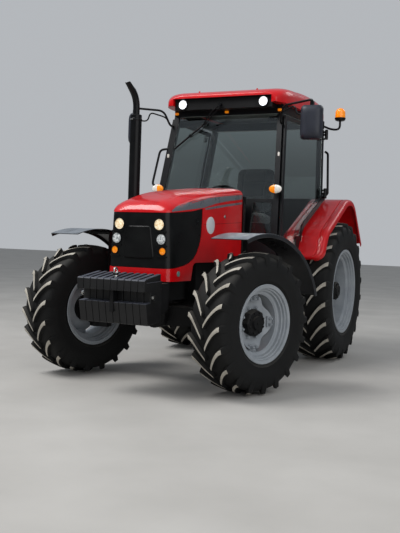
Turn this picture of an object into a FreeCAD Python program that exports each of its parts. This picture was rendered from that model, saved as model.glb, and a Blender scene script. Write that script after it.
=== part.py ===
import FreeCAD, Part
import math
import os

# Farm tractor with a closed cab and four-wheel drive, in millimetres.
# The frame: origin on the ground under the middle of the machine, +X to the machine's left,
# +Y to its rear (it drives towards -Y), +Z up.

os.makedirs("parts", exist_ok=True)
V = FreeCAD.Vector

# Wheelbase, tracks and tyres
front_overhang = 890.0
wheelbase = 2310.0
rear_overhang = 980.0
front_axle_y = -(front_overhang + wheelbase + rear_overhang) / 2 + front_overhang
rear_axle_y = front_axle_y + wheelbase
rear_end_y = rear_axle_y + rear_overhang
kingpin_x = 700.0
kingpin_offset = 166.0
rear_wheel_x = 817.0
steer_at_rest = -17.6
steer_limit = 40.0
ring_facets = 36
bar_gap = 12.0
running_gap = 0.3

# One row a wheel: radius over the bars, section width, tread width, bead radius, flange radius,
# flange-to-flange width, bars a side, their height and their lean from middle to shoulder (radians),
# dish of the disc, hub hole radius, hub flange radius, hub reach out and in
FRONT = dict(tip_r=595.0, width=364.0, tread=330.0, bead_r=305.0, flange_r=330.0, seat_width=318.0,
             bars=20, bar_tall=34.0, lean=0.30,
             dish=34.0, hole_r=100.0, hub_r=128.0, hub_out=62.0, hub_in=70.0)
REAR = dict(tip_r=755.0, width=444.0, tread=400.0, bead_r=432.0, flange_r=457.0, seat_width=380.0,
            bars=22, bar_tall=38.0, lean=0.29,
            dish=-40.0, hole_r=110.0, hub_r=150.0, hub_out=55.0, hub_in=66.0)
flange_lip = 13.0
rim_wall = 10.0
disc_wall = 12.0
cab_rear_y = 1180.0
far = 3000.0


# Small helpers

def box(x0, x1, y0, y1, z0, z1):
    """Block between two corners."""
    return Part.makeBox(x1 - x0, y1 - y0, z1 - z0, V(x0, y0, z0))


def both_sides(shape):
    """A shape and its mirror image across the machine's middle, as separate solids."""
    return [shape, mirrored(shape)]


def mirrored(shape):
    return shape.mirror(V(0, 0, 0), V(1, 0, 0))


def cylinder(start, end, radius):
    """Round bar from one point to another."""
    along = V(end) - V(start)
    return Part.makeCylinder(radius, along.Length, V(start), along)


def prism(start, end, radius, sides):
    """Bar with flat sides from one point to another; radius is over the corners."""
    start, end = V(start), V(end)
    along = end - start
    turn = FreeCAD.Rotation(V(0, 0, 1), along)
    ring = []
    for k in range(sides):
        a = 2 * math.pi * (k + 0.5) / sides
        ring.append(start + turn.multVec(V(radius * math.cos(a), radius * math.sin(a), 0)))
    return Part.Face(Part.makePolygon(ring + ring[:1])).extrude(along)


def tube(start, end, radius, bore):
    along = V(end) - V(start)
    margin = along * (1.0 / along.Length)
    hole = cylinder(V(start) - margin, V(end) + margin, bore)
    return cylinder(start, end, radius).cut(hole)


def side_plate(outline, x0, x1):
    """Plate between x0 and x1 whose side view is the (y, z) outline."""
    points = [V(x0, y, z) for y, z in outline]
    face = Part.Face(Part.makePolygon(points + points[:1]))
    return face.extrude(V(x1 - x0, 0, 0))


def front_plate(outline, y0, y1):
    """Plate between y0 and y1 whose front view is the (x, z) outline."""
    points = [V(x, y0, z) for x, z in outline]
    face = Part.Face(Part.makePolygon(points + points[:1]))
    return face.extrude(V(0, y1 - y0, 0))


def top_plate(outline, z0, z1):
    """Plate between z0 and z1 whose plan is the (x, y) outline."""
    points = [V(x, y, z0) for x, y in outline]
    face = Part.Face(Part.makePolygon(points + points[:1]))
    return face.extrude(V(0, 0, z1 - z0))


def loft(sections):
    """Straight loft through closed outlines of the same number of points."""
    wires = [Part.makePolygon([V(p) for p in s] + [V(s[0])]) for s in sections]
    return Part.makeLoft(wires, True, True)


def fused(shapes):
    whole = shapes[0]
    if len(shapes) > 1:
        whole = whole.multiFuse(shapes[1:])
    return whole.removeSplitter()


def bent_pipe(points, radius, bend):
    """Round pipe along straight runs joined by arcs of one bend radius."""
    pts = [V(p) for p in points]
    edges = []
    start = pts[0]
    for before, corner, after in zip(pts, pts[1:], pts[2:]):
        into = (corner - before).normalize()
        out = (after - corner).normalize()
        turn = into.getAngle(out)
        back = bend * math.tan(turn / 2)
        a = corner - into * back
        b = corner + out * back
        inward = (out - into).normalize()
        middle = corner + inward * (bend / math.cos(turn / 2) - bend)
        edges.append(Part.LineSegment(start, a).toShape())
        edges.append(Part.Arc(a, middle, b).toShape())
        start = b
    edges.append(Part.LineSegment(start, pts[-1]).toShape())
    path = Part.Wire(edges)
    ring = Part.Wire(Part.Circle(pts[0], (pts[1] - pts[0]).normalize(), radius).toShape())
    return path.makePipeShell([ring], True, True)


def bent_bar(points, radius, bend, sides=8):
    """Flat-sided bar along straight runs; each corner is cut by one short run across its bend."""
    pts = [V(p) for p in points]
    route = [pts[0]]
    for before, corner, after in zip(pts, pts[1:], pts[2:]):
        into, out = (corner - before).normalize(), (after - corner).normalize()
        back = bend * math.tan(into.getAngle(out) / 2)
        route += [corner - into * back, corner + out * back]
    route.append(pts[-1])
    runs = []
    last = len(route) - 2
    for k, (a, b) in enumerate(zip(route, route[1:])):
        lap = (b - a).normalize() * radius * 0.4
        runs.append(prism(a - lap if k > 0 else a, b + lap if k < last else b, radius, sides))
    return fused(runs)


def save(name, shapes):
    """Write one sub-part, made of one solid or of several that don't touch."""
    solids = []
    for shape in (shapes if isinstance(shapes, list) else [shapes]):
        solids += shape.Solids
    whole = solids[0] if len(solids) == 1 else Part.makeCompound(solids)
    whole.exportStep("parts/" + name + ".step")
    print(name, len(solids), "solids", round(whole.Volume / 1e6, 1), "litres", whole.isValid())


# Wheels, drawn about their own spin axis: x runs outwards, x = 0 is the tyre's middle plane

def wheel_point(x, radius, angle):
    return V(x, radius * math.cos(angle), radius * math.sin(angle))


def skin(*corners):
    """One flat face through the corners, or two triangles where four of them aren't in one plane."""
    a, b, c = corners[:3]
    if len(corners) == 4:
        d = corners[3]
        if abs((b - a).cross(c - a).dot(d - a)) > 1.0:
            return skin(a, b, c) + skin(a, c, d)
    return [Part.Face(Part.makePolygon(list(corners) + [a]))]


def ring_points(x, radius, facets):
    """Corners of a many-sided ring about the X axis; radius is over its flats."""
    half = math.pi / facets
    reach = radius / math.cos(half)
    return [wheel_point(x, reach, -math.pi / 2 + half + 2 * half * k) for k in range(facets)]


def facet_ring(profile, facets):
    """Ring about the X axis in flat facets; profile is a closed (x, radius) outline."""
    hoops = [ring_points(x, r, facets) for x, r in profile]
    faces = []
    for here, there in zip(hoops, hoops[1:] + hoops[:1]):
        for k in range(facets):
            j = (k + 1) % facets
            faces += skin(here[k], here[j], there[j], there[k])
    return closed(faces)


def closed(faces):
    """Solid inside a closed set of faces."""
    solid = Part.Solid(Part.Shell(faces))
    if solid.Volume < 0:
        solid.reverse()
    return solid


def tyre(w):
    """Carcass with two rows of bars, half a pitch apart, which lean back from the middle to the shoulders."""
    tip, base = w["tip_r"], w["tip_r"] - w["bar_tall"]
    half_w, tread = w["width"] / 2, w["tread"] / 2
    seat, wall_r = w["seat_width"] / 2, w["flange_r"] + 6
    pitch = 2 * math.pi / w["bars"]
    # One row a station from the middle outwards: x, carcass radius, bar's top radius,
    # share of the lean, half width of the bar's foot and of its top
    stations = [
        (bar_gap, base, tip, 0.0, 24.0, 17.0),
        (tread * 0.5, base - 2, tip - 3, 0.62, 27.0, 19.0),
        (tread + 2, base - 16, tip - 17, 0.97, 31.0, 23.0),
        (half_w, base - 72, None, 1.0, 32.0, None),
        (seat, wall_r, None, 1.0, 32.0, None),
    ]
    faces = []
    rows = {}
    for side in (1, -1):
        for k in range(w["bars"]):
            middle = math.pi / 2 + pitch * (k if side > 0 else k + 0.5)
            foot, top = [], []
            for x, low, high, lean, foot_half, top_half in stations:
                a = middle - w["lean"] * lean
                foot.append([wheel_point(side * x, low, a + s * foot_half / base) for s in (-1, 1)])
                if high:
                    top.append([wheel_point(side * x, high, a + s * top_half / tip) for s in (-1, 1)])
            rows[side, k] = foot
            faces += skin(foot[0][0], foot[0][1], top[0][1], top[0][0])
            for i in range(2):
                faces += skin(top[i][0], top[i][1], top[i + 1][1], top[i + 1][0])
                faces += skin(foot[i][0], top[i][0], top[i + 1][0], foot[i + 1][0])
                faces += skin(top[i][1], foot[i][1], foot[i + 1][1], top[i + 1][1])
            faces += skin(top[2][0], top[2][1], foot[3][1], foot[3][0])
            faces += skin(foot[2][0], top[2][0], foot[3][0])
            faces += skin(top[2][1], foot[2][1], foot[3][1])
            faces += skin(foot[3][0], foot[3][1], foot[4][1], foot[4][0])
    for side in (1, -1):
        for k in range(w["bars"]):
            here, there = rows[side, k], rows[side, (k + 1) % w["bars"]]
            for i in range(4):
                faces += skin(here[i][1], there[i][0], there[i + 1][0], here[i + 1][1])
    for k in range(w["bars"]):
        left, after = rows[1, k][0], rows[1, (k + 1) % w["bars"]][0]
        before, right = rows[-1, (k - 1) % w["bars"]][0], rows[-1, k][0]
        faces += skin(before[1], left[0], left[1]) + skin(before[1], left[1], right[0])
        faces += skin(left[1], right[0], right[1]) + skin(left[1], right[1], after[0])
    bore = {side: ring_points(side * seat, w["bead_r"], ring_facets) for side in (1, -1)}
    for k in range(ring_facets):
        j = (k + 1) % ring_facets
        faces += skin(bore[1][k], bore[1][j], bore[-1][j], bore[-1][k])
    for side in (1, -1):
        edge = [p for k in range(w["bars"]) for p in rows[side, k][4]]
        outer = Part.makePolygon(edge + edge[:1])
        inner = Part.makePolygon(bore[side] + bore[side][:1])
        faces.append(Part.makeFace([outer, inner], "Part::FaceMakerBullseye"))
    return closed(faces)


def rim(w):
    seat = w["seat_width"] / 2
    edge = seat + flange_lip
    inner_r = w["bead_r"] - rim_wall
    disc_x = w["dish"]
    return facet_ring([
        (seat, w["bead_r"]),
        (seat, w["flange_r"]),
        (edge, w["flange_r"]),
        (edge, inner_r),
        (disc_x + 40, inner_r),
        (disc_x, w["hole_r"]),
        (disc_x - disc_wall, w["hole_r"]),
        (disc_x + 40 - disc_wall, inner_r),
        (-edge, inner_r),
        (-edge, w["flange_r"]),
        (-seat, w["flange_r"]),
        (-seat, w["bead_r"]),
    ], ring_facets)


def hub(w):
    """Hub with its flange behind the disc and its drive housing out through the hole."""
    face_x = w["dish"] - disc_wall + 2
    back = prism(V(face_x - w["hub_in"], 0, 0), V(face_x, 0, 0), w["hub_r"], 24)
    out = prism(V(face_x, 0, 0), V(w["dish"] + w["hub_out"], 0, 0), w["hole_r"] + 3.0, 24)
    cap = prism(V(w["dish"] + w["hub_out"], 0, 0), V(w["dish"] + w["hub_out"] + 22, 0, 0), w["hole_r"] * 0.62, 24)
    return fused([back, out, cap])


def hub_back_x(w):
    """Where the hub's inner end lies, on the wheel's own axis."""
    return w["dish"] - disc_wall + 2 - w["hub_in"]


def on_front_wheel(shape):
    """From a wheel's own frame to the left front wheel, steered as it stands."""
    placed = shape.copy()
    placed.translate(V(kingpin_offset, 0, 0))
    return on_knuckle(placed)


def on_knuckle(shape):
    """From the kingpin's frame (axle height, x outwards) to the left knuckle, unsteered pieces turned."""
    placed = shape.copy()
    placed.rotate(V(0, 0, 0), V(0, 0, 1), steer_at_rest)
    placed.translate(V(kingpin_x, front_axle_y, FRONT["tip_r"]))
    return placed


def on_right_knuckle(shape):
    """The mirrored piece, steered the same way round as the left one."""
    placed = mirrored(shape)
    placed.rotate(V(0, 0, 0), V(0, 0, 1), steer_at_rest)
    placed.translate(V(-kingpin_x, front_axle_y, FRONT["tip_r"]))
    return placed


def on_right_front_wheel(shape):
    placed = shape.copy()
    placed.translate(V(kingpin_offset, 0, 0))
    return on_right_knuckle(placed)


def on_rear_wheel(shape):
    placed = shape.copy()
    placed.translate(V(rear_wheel_x, rear_axle_y, REAR["tip_r"]))
    return placed


def make_wheels():
    for end, w, left, right in (("front", FRONT, on_front_wheel, on_right_front_wheel),
                                ("rear", REAR, on_rear_wheel, lambda s: mirrored(on_rear_wheel(s)))):
        pieces = {"tyre": tyre(w), "rim": fused([rim(w), hub(w)])}
        for piece, shape in pieces.items():
            save(f"{piece}_{end}_left", left(shape))
            save(f"{piece}_{end}_right", right(shape))


# Front axle, its knuckles and the track rod

axle_z = FRONT["tip_r"]
housing_r = 105.0
ear_z = 118.0
ear_half = 40.0
ear_wall = 34.0
pin_r = 24.0
pin_clearance = 0.05
arm_back = 160.0
arm_wall = 26.0
rod_r = 17.0
rod_eye_r = 34.0
rod_drop = 40.0


def make_front_axle():
    sections = []
    for x, deep, tall in ((-600, 100, 116), (-180, 150, 170), (180, 150, 170), (600, 100, 116)):
        y0, y1 = front_axle_y - deep / 2, front_axle_y + deep / 2
        z0, z1 = axle_z - tall / 2, axle_z + tall / 2
        sections.append([(x, y0, z0), (x, y1, z0), (x, y1, z1), (x, y0, z1)])
    beam = fused([loft(sections[i:i + 2]) for i in range(3)])
    pieces = [beam, cylinder(V(0, front_axle_y - 150, axle_z), V(0, front_axle_y + 100, axle_z), housing_r)]
    for side in (-1, 1):
        x = side * kingpin_x
        for z in (axle_z + ear_z, axle_z - ear_z - ear_wall):
            pad = cylinder(V(x, front_axle_y, z), V(x, front_axle_y, z + ear_wall), 52)
            arm = box(min(x, x - side * 150), max(x, x - side * 150), front_axle_y - ear_half,
                      front_axle_y + ear_half, z, z + ear_wall)
            pieces += [pad, arm]
        back = x - side * 150
        pieces.append(box(min(back, back + side * 60), max(back, back + side * 60), front_axle_y - ear_half,
                          front_axle_y + ear_half, axle_z - ear_z - ear_wall, axle_z + ear_z + ear_wall))
    axle = fused(pieces)
    for side in (-1, 1):
        x = side * kingpin_x
        axle = axle.cut(cylinder(V(x, front_axle_y, axle_z - 300), V(x, front_axle_y, axle_z + 300),
                                 pin_r + pin_clearance))
    return axle


def make_knuckle():
    """Knuckle about the kingpin, with its steering arm; returned in the kingpin's frame."""
    height = ear_z - running_gap
    swivel = cylinder(V(0, 0, -height), V(0, 0, height), 66)
    pin = cylinder(V(0, 0, -ear_z - ear_wall - 6), V(0, 0, ear_z + ear_wall + 6), pin_r)
    end_x = kingpin_offset + hub_back_x(FRONT) - running_gap
    carrier = cylinder(V(0, 0, 0), V(end_x, 0, 0), 92)
    arm = box(-26, 26, 40, arm_back, -arm_wall / 2, arm_wall / 2)
    eye = cylinder(V(0, arm_back, -arm_wall / 2), V(0, arm_back, arm_wall / 2), 30)
    return fused([swivel, pin, carrier, arm, eye])


fender_r = 745.0
fender_wall = 8.0
fender_outer_x = 342.0
fender_inner_x = -55.0
fender_tail_inner_x = 70.0
fender_front_angle = -22.0
fender_tail_angle = 73.0


def ring_point(x, radius, angle):
    """Point about the axle line: the angle runs from straight up towards the rear."""
    a = math.radians(angle)
    return V(x, radius * math.sin(a), radius * math.cos(a))


def make_front_fender():
    """Arched plastic fender with a turned-down outer lip, in the kingpin's frame."""
    def band(x0, x1, outer_r, wall):
        a0, a1 = fender_front_angle, fender_tail_angle
        mid = (a0 + a1) / 2
        out = Part.Arc(*(ring_point(x0, outer_r, a) for a in (a0, mid, a1))).toShape()
        into = Part.Arc(*(ring_point(x0, outer_r - wall, a) for a in (a1, mid, a0))).toShape()
        tail = Part.LineSegment(ring_point(x0, outer_r, a1), ring_point(x0, outer_r - wall, a1)).toShape()
        nose = Part.LineSegment(ring_point(x0, outer_r - wall, a0), ring_point(x0, outer_r, a0)).toShape()
        face = Part.Face(Part.Wire([out, tail, into, nose]))
        return face.extrude(V(x1 - x0, 0, 0))
    crown = band(fender_inner_x, fender_outer_x, fender_r, fender_wall)
    lip = band(fender_outer_x - fender_wall, fender_outer_x, fender_r, 34.0)
    corner = top_plate([(fender_inner_x - 5, 180), (fender_tail_inner_x, 480), (fender_tail_inner_x, 760),
                        (fender_inner_x - 5, 760)], 0, 800)
    return fused([crown, lip]).cut(corner)


stay_front_y = 104.0
stay_rear_y = 156.0


def make_stay():
    """Stay from the steering arm, up inside the tyre and across under the fender."""
    x1 = kingpin_offset - FRONT["width"] / 2 - 12
    x0 = x1 - 14
    under = math.sqrt((fender_r - fender_wall - running_gap) ** 2 - stay_rear_y ** 2)
    post = side_plate([(stay_front_y, -arm_wall / 2), (stay_rear_y, -arm_wall / 2), (stay_rear_y, under),
                       (stay_front_y, under)], x0, x1)
    foot = box(x0, 0, stay_front_y, stay_rear_y - 20, -arm_wall / 2, arm_wall / 2)
    rail = box(x0, fender_outer_x - 40, stay_front_y, stay_rear_y, under - 24, under)
    return fused([post, foot, rail])


def make_knuckles():
    body = fused([make_knuckle(), make_stay()])
    fender = make_front_fender()
    save("knuckle_left", on_knuckle(body))
    save("knuckle_right", on_right_knuckle(body))
    save("front_fender_left", on_knuckle(fender))
    save("front_fender_right", on_right_knuckle(fender))


def make_track_rod():
    """Rod behind the beam between the two steering arms, under their eyes."""
    a = math.radians(steer_at_rest)
    shift = -arm_back * math.sin(a)
    y = front_axle_y + arm_back * math.cos(a)
    z = axle_z - rod_drop
    ends = [V(shift - kingpin_x, y, z), V(shift + kingpin_x, y, z)]
    top_z = axle_z - arm_wall / 2 - 0.5
    eyes = [cylinder(V(e.x, e.y, z - 22), V(e.x, e.y, top_z), rod_eye_r) for e in ends]
    return fused([cylinder(ends[0], ends[1], rod_r)] + eyes), y, z


def make_steering():
    """Axle beam with the steering cylinder's barrel on its back, and the rod through the barrel."""
    rod, y, z = make_track_rod()
    save("track_rod", rod)
    barrel = cylinder(V(-190, y, z), V(190, y, z), 36)
    lugs = [box(x - 14, x + 14, front_axle_y + 40, y, z - 30, z + 30) for x in (-150, 150)]
    bore = cylinder(V(-200, y, z), V(200, y, z), rod_r + pin_clearance)
    save("front_axle", fused([make_front_axle(), barrel] + lugs).cut(bore))


# Backbone: front support, engine, transmission and rear axle

support_half = 150.0
support_front_y = -1640.0
saddle_tall = 35.0
support_z0 = axle_z + housing_r + saddle_tall
support_z1 = 905.0
engine_front_y = -1010.0
engine_rear_y = -330.0
engine_z0 = 700.0
engine_half = 225.0
engine_z1 = 1290.0
gearbox_half = 190.0
gearbox_rear_y = 1330.0
gearbox_z0 = 470.0
gearbox_z1 = 930.0
drive_shaft_z = 655.0
lift_case_z1 = 1090.0
rockshaft_y = 1240.0
rockshaft_z = 1010.0
rockshaft_r = 32.0
pto_z = 690.0
pto_r = 17.5
pto_reach = 90.0

weight_count = 10
weight_pitch = 58.0
weight_wall = 55.0
weight_gap = 46.0
weight_front_y = front_axle_y - front_overhang + 5
weight_rear_y = -1800.0
weight_top_z = 945.0
weight_hook = 40.0
weight_slot_deep = 30.0
weight_outline = [(weight_front_y, 852), (weight_front_y, weight_top_z - 7), (weight_front_y + 7, weight_top_z),
                  (weight_rear_y, weight_top_z),
                  (weight_rear_y, 600), (weight_front_y + 79, 583), (weight_front_y + 65, 590),
                  (weight_front_y + 28, 757), (weight_front_y + 100, 762), (weight_front_y + 100, 846)]


tow_pin_y = weight_front_y + 80


def make_front_end():
    support = box(-support_half, support_half, support_front_y, engine_front_y, support_z0, support_z1)
    saddle = box(-60, 60, front_axle_y - 120, front_axle_y + 70, axle_z + housing_r + running_gap, support_z0)
    carrier = side_plate([(weight_rear_y + running_gap, 640), (support_front_y, 690), (support_front_y, 905),
                          (weight_rear_y + running_gap, 905)], -290, 290)
    tongue = box(-16, 16, weight_front_y + 25, weight_rear_y + 1, 680, 900)
    pin = cylinder(V(0, tow_pin_y, 620), V(0, tow_pin_y, 985), 13.0)
    head = cylinder(V(0, tow_pin_y, 965), V(0, tow_pin_y, 985), 22)
    ring = facet_ring([(-5, 19), (-5, 29), (5, 29), (5, 19)], 16)
    ring.translate(V(0, tow_pin_y, 1003))
    save("front_support", fused([fused([support, saddle, carrier, tongue, pin, head]), ring]))
    weights = []
    for k in range(weight_count):
        side = 1 if k < weight_count / 2 else -1
        step = k % (weight_count // 2)
        x0 = weight_gap / 2 + step * weight_pitch
        block = side_plate(weight_outline, x0, x0 + weight_wall)
        slot = box(x0 + weight_hook, x0 + weight_pitch, weight_front_y + 24, weight_rear_y + 1,
                   weight_top_z - weight_slot_deep, weight_top_z + 1)
        block = block.cut(slot)
        weights.append(block if side > 0 else mirrored(block))
    save("front_weights", weights)


def make_drivetrain():
    engine = box(-engine_half, engine_half, engine_front_y, engine_rear_y, engine_z0, engine_z1)
    save("engine", engine)
    bell = [(-engine_half, gearbox_z0 + 110), (engine_half, gearbox_z0 + 110), (engine_half, gearbox_z1), (-engine_half, gearbox_z1)]
    case = [(-gearbox_half, gearbox_z0), (gearbox_half, gearbox_z0), (gearbox_half, gearbox_z1),
            (-gearbox_half, gearbox_z1)]
    def at(y, outline):
        return [V(x, y, z) for x, z in outline]
    neck = loft([at(engine_rear_y, bell), at(engine_rear_y + 260, case)])
    body = box(-gearbox_half, gearbox_half, engine_rear_y + 260, gearbox_rear_y, gearbox_z0, gearbox_z1)
    lift_case = box(-165, 165, 930, gearbox_rear_y, gearbox_z1, lift_case_z1)
    pto_boss = cylinder(V(0, gearbox_rear_y, pto_z), V(0, gearbox_rear_y + 30, pto_z), 60)
    stub = cylinder(V(0, gearbox_rear_y, pto_z), V(0, gearbox_rear_y + 30 + pto_reach, pto_z), pto_r)
    gearbox = fused([neck, body, lift_case, pto_boss, stub])
    gearbox = gearbox.cut(cylinder(V(-400, rockshaft_y, rockshaft_z), V(400, rockshaft_y, rockshaft_z),
                                   rockshaft_r + pin_clearance))
    shaft_front = front_axle_y + 100 + running_gap
    shaft = cylinder(V(0, shaft_front, drive_shaft_z), V(0, engine_rear_y + 30, drive_shaft_z), 30)
    carried = make_link_brackets() + make_top_link_bracket() + make_drawbar_hangers()
    save("transmission", fused([gearbox, shaft] + carried))


def make_rear_axle():
    out = rear_wheel_x + hub_back_x(REAR) - running_gap
    pieces = []
    z = REAR["tip_r"]
    drum = cylinder(V(gearbox_half, rear_axle_y, z), V(gearbox_half + 130, rear_axle_y, z), 170)
    horn = Part.makeCone(150, 96, out - gearbox_half - 130, V(gearbox_half + 130, rear_axle_y, z), V(1, 0, 0))
    pieces = fused([drum, horn])
    save("rear_axle", both_sides(pieces))


# Rear linkage

link_pivot_x = 240.0
link_pivot_y = 1165.0
link_pivot_z = 440.0
link_end_x = 400.0
link_end_y = rear_end_y - 45.0
link_end_z = 560.0
link_eye_r = 45.0
link_ball_bore = 14.2
link_eye_half = 22.0
link_ear_x = 282.0
link_pin_r = 14.0
lift_point_y = 1560.0
arm_tip_z = 1060.0
lift_x0 = 298.0
rod_x0 = 330.0
rod_x1 = 352.0
slot_reach = 14.0
slot_half = 16.5
rod_eye_r = 30.0


def link_z(y):
    """Height of the lower link's middle line."""
    return link_pivot_z + (link_end_z - link_pivot_z) * (y - link_pivot_y) / (link_end_y - link_pivot_y)


def link_x(y):
    return link_pivot_x + (link_end_x - link_pivot_x) * (y - link_pivot_y) / (link_end_y - link_pivot_y)


def make_lower_links():
    def section(y, tall):
        x, z = link_x(y), link_z(y)
        return [(x - 11, y, z - tall), (x + 11, y, z - tall), (x + 11, y, z + tall), (x - 11, y, z + tall)]
    bar = loft([section(link_pivot_y + 10, 30), section(link_end_y - 10, 26)])
    front_eye = cylinder(V(link_pivot_x - link_eye_half + 0.5, link_pivot_y, link_pivot_z),
                         V(link_pivot_x + link_eye_half - 0.5, link_pivot_y, link_pivot_z), 38)
    rear_eye = cylinder(V(link_end_x - 20, link_end_y, link_end_z),
                        V(link_end_x + 20, link_end_y, link_end_z), link_eye_r)
    stub_z = link_z(lift_point_y)
    stub = cylinder(V(link_x(lift_point_y), lift_point_y, stub_z), V(rod_x1 + 14, lift_point_y, stub_z), 12)
    link = fused([bar, front_eye, rear_eye, stub])
    for x, y, z, r in ((link_pivot_x, link_pivot_y, link_pivot_z, link_pin_r + pin_clearance),
                       (link_end_x, link_end_y, link_end_z, link_ball_bore)):
        link = link.cut(cylinder(V(x - 60, y, z), V(x + 60, y, z), r))
    save("lower_links", both_sides(link))


def make_link_brackets():
    """Ears under the axle that carry the lower links' pins, and the drawbar's hanger."""
    pieces = []
    for x0, x1 in ((gearbox_half, link_pivot_x - link_eye_half), (link_pivot_x + link_eye_half, link_ear_x)):
        ear = side_plate([(link_pivot_y - 45, link_pivot_z - 40), (link_pivot_y + 34, link_pivot_z - 40),
                          (link_pivot_y + 34, 560), (link_pivot_y - 45, 560)], x0, x1)
        pieces.append(ear)
    pin = cylinder(V(gearbox_half + 4, link_pivot_y, link_pivot_z),
                   V(link_ear_x + 8, link_pivot_y, link_pivot_z), link_pin_r)
    bridge = box(gearbox_half, link_ear_x, link_pivot_y - 45, link_pivot_y + 34, 510, 560)
    bracket = fused(pieces + [pin, bridge])
    return both_sides(bracket)


def make_lift():
    tip = V(0, lift_point_y, arm_tip_z)
    root = V(0, rockshaft_y, rockshaft_z)
    shaft = cylinder(V(-lift_x0 - 30, rockshaft_y, rockshaft_z), V(lift_x0 + 30, rockshaft_y, rockshaft_z),
                     rockshaft_r)
    arms = []
    for side in (-1, 1):
        x0, x1 = sorted((side * lift_x0, side * (lift_x0 + 30)))
        boss = cylinder(V(x0, root.y, root.z), V(x1, root.y, root.z), 60)
        end = cylinder(V(x0, tip.y, tip.z), V(x1, tip.y, tip.z), 30)
        web = side_plate([(root.y, root.z - 52), (tip.y, tip.z - 28), (tip.y, tip.z + 28),
                          (root.y, root.z + 56)], x0, x1)
        pin = cylinder(V(side * lift_x0, tip.y, tip.z), V(side * (rod_x1 + 12), tip.y, tip.z), 12)
        arms += [boss, end, web, pin]
    save("lift_arms", fused([shaft] + arms))
    low = link_z(lift_point_y)
    rod = fused([
        cylinder(V(rod_x0, tip.y, tip.z), V(rod_x1, tip.y, tip.z), 28),
        cylinder(V(rod_x0, tip.y, low - slot_reach), V(rod_x1, tip.y, low - slot_reach), rod_eye_r),
        box(rod_x0, rod_x1, tip.y - rod_eye_r, tip.y + rod_eye_r, low - slot_reach, low + 44),
        cylinder(V((rod_x0 + rod_x1) / 2, tip.y, low + 30), V((rod_x0 + rod_x1) / 2, tip.y, tip.z - 20), 11),
        cylinder(V((rod_x0 + rod_x1) / 2, tip.y, low + 180), V((rod_x0 + rod_x1) / 2, tip.y, tip.z - 160), 19),
    ])
    rod = rod.cut(cylinder(V(0, tip.y, tip.z), V(500, tip.y, tip.z), 12 + pin_clearance))
    slot = [box(rod_x0 - 9, rod_x1 + 9, tip.y - slot_half, tip.y + slot_half, low - slot_reach, low + slot_reach)]
    for z in (low - slot_reach, low + slot_reach):
        slot.append(cylinder(V(rod_x0 - 9, tip.y, z), V(rod_x1 + 9, tip.y, z), slot_half))
    save("lift_rods", both_sides(rod.cut(fused(slot))))


top_link_y = gearbox_rear_y + 60.0
top_link_z = 985.0
top_link_length = 600.0
top_link_lift = 70.0


def make_top_link_bracket():
    rear = gearbox_rear_y
    ears = [box(x0, x1, rear, top_link_y + 30, top_link_z - 35, top_link_z + 35)
            for x0, x1 in ((-46, -27), (27, 46))]
    pin = cylinder(V(-52, top_link_y, top_link_z), V(52, top_link_y, top_link_z), 12.5)
    back = box(-46, 46, rear, rear + 14, top_link_z - 60, top_link_z + 60)
    return [fused(ears + [pin, back])]


def make_top_link():
    end = V(0, top_link_y + top_link_length, top_link_z + top_link_lift)
    start = V(0, top_link_y, top_link_z)
    along = (end - start).normalize()
    screw = cylinder(start + along * 30, end - along * 30, 14)
    barrel = cylinder(start + along * 130, end - along * 150, 24)
    eyes = [cylinder(V(-26, p.y, p.z), V(26, p.y, p.z), 32) for p in (start, end)]
    link = fused([screw, barrel] + eyes)
    for p in (start, end):
        link = link.cut(cylinder(V(-60, p.y, p.z), V(60, p.y, p.z), 12.5 + pin_clearance))
    save("top_link", link)


drawbar_z0 = 392.0
drawbar_z1 = 424.0
drawbar_end_y = 1690.0
drawbar_hole_y = 1640.0


def make_drawbar():
    bar = box(-40, 40, 820, drawbar_end_y, drawbar_z0, drawbar_z1)
    bar = bar.cut(cylinder(V(0, drawbar_hole_y, 300), V(0, drawbar_hole_y, 500), 16.5))
    save("drawbar", bar)


def make_drawbar_hangers():
    hangers = []
    for y in (860, 1240):
        strap = box(-70, 70, y, y + 60, drawbar_z0 - 16, gearbox_z0)
        slot = box(-40 - running_gap, 40 + running_gap, y - 1, y + 61, drawbar_z0 - running_gap, drawbar_z1 + running_gap)
        hangers.append(strap.cut(slot))
    return hangers


def make_exhaust():
    x, y = -425.0, -1040.0
    shield = tube(V(x, y, 1180), V(x, y, 2300), 52, 47)
    pipe = bent_bar([(-engine_half, y, 1000), (x, y, 1000), (x, y, 2560), (x - 20, y - 120, 2680)], 31, 60, 16)
    collar = cylinder(V(x, y, 1160), V(x, y, 1180), 52)
    cap = cylinder(V(x, y, 2300), V(x, y, 2316), 52)
    save("exhaust", fused([shield, pipe, collar, cap]))


def make_side_boxes():
    tank = side_plate([(-330, 560), (-330, 980), (260, 980), (260, 660), (160, 560)], 240, 560)
    strap = [box(gearbox_half, 240, y, y + 60, 700, 800) for y in (-40, 180)]
    save("fuel_tank", fused([tank] + strap))
    battery = side_plate([(-330, 640), (-330, 980), (200, 980), (200, 640)], -520, -240)
    straps = [box(-240, -gearbox_half, y, y + 60, 700, 800) for y in (-40, 120)]
    save("battery_box", fused([battery] + straps))


# Bonnet: a hollow shell that tilts up about its rear top edge, with the grille in its window

bonnet_wall = 12.0
bonnet_z0 = 917.0
bonnet_rear_y = -300.0
bonnet_step_y = -1290.0
bonnet_step_z = 1070.0
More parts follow.
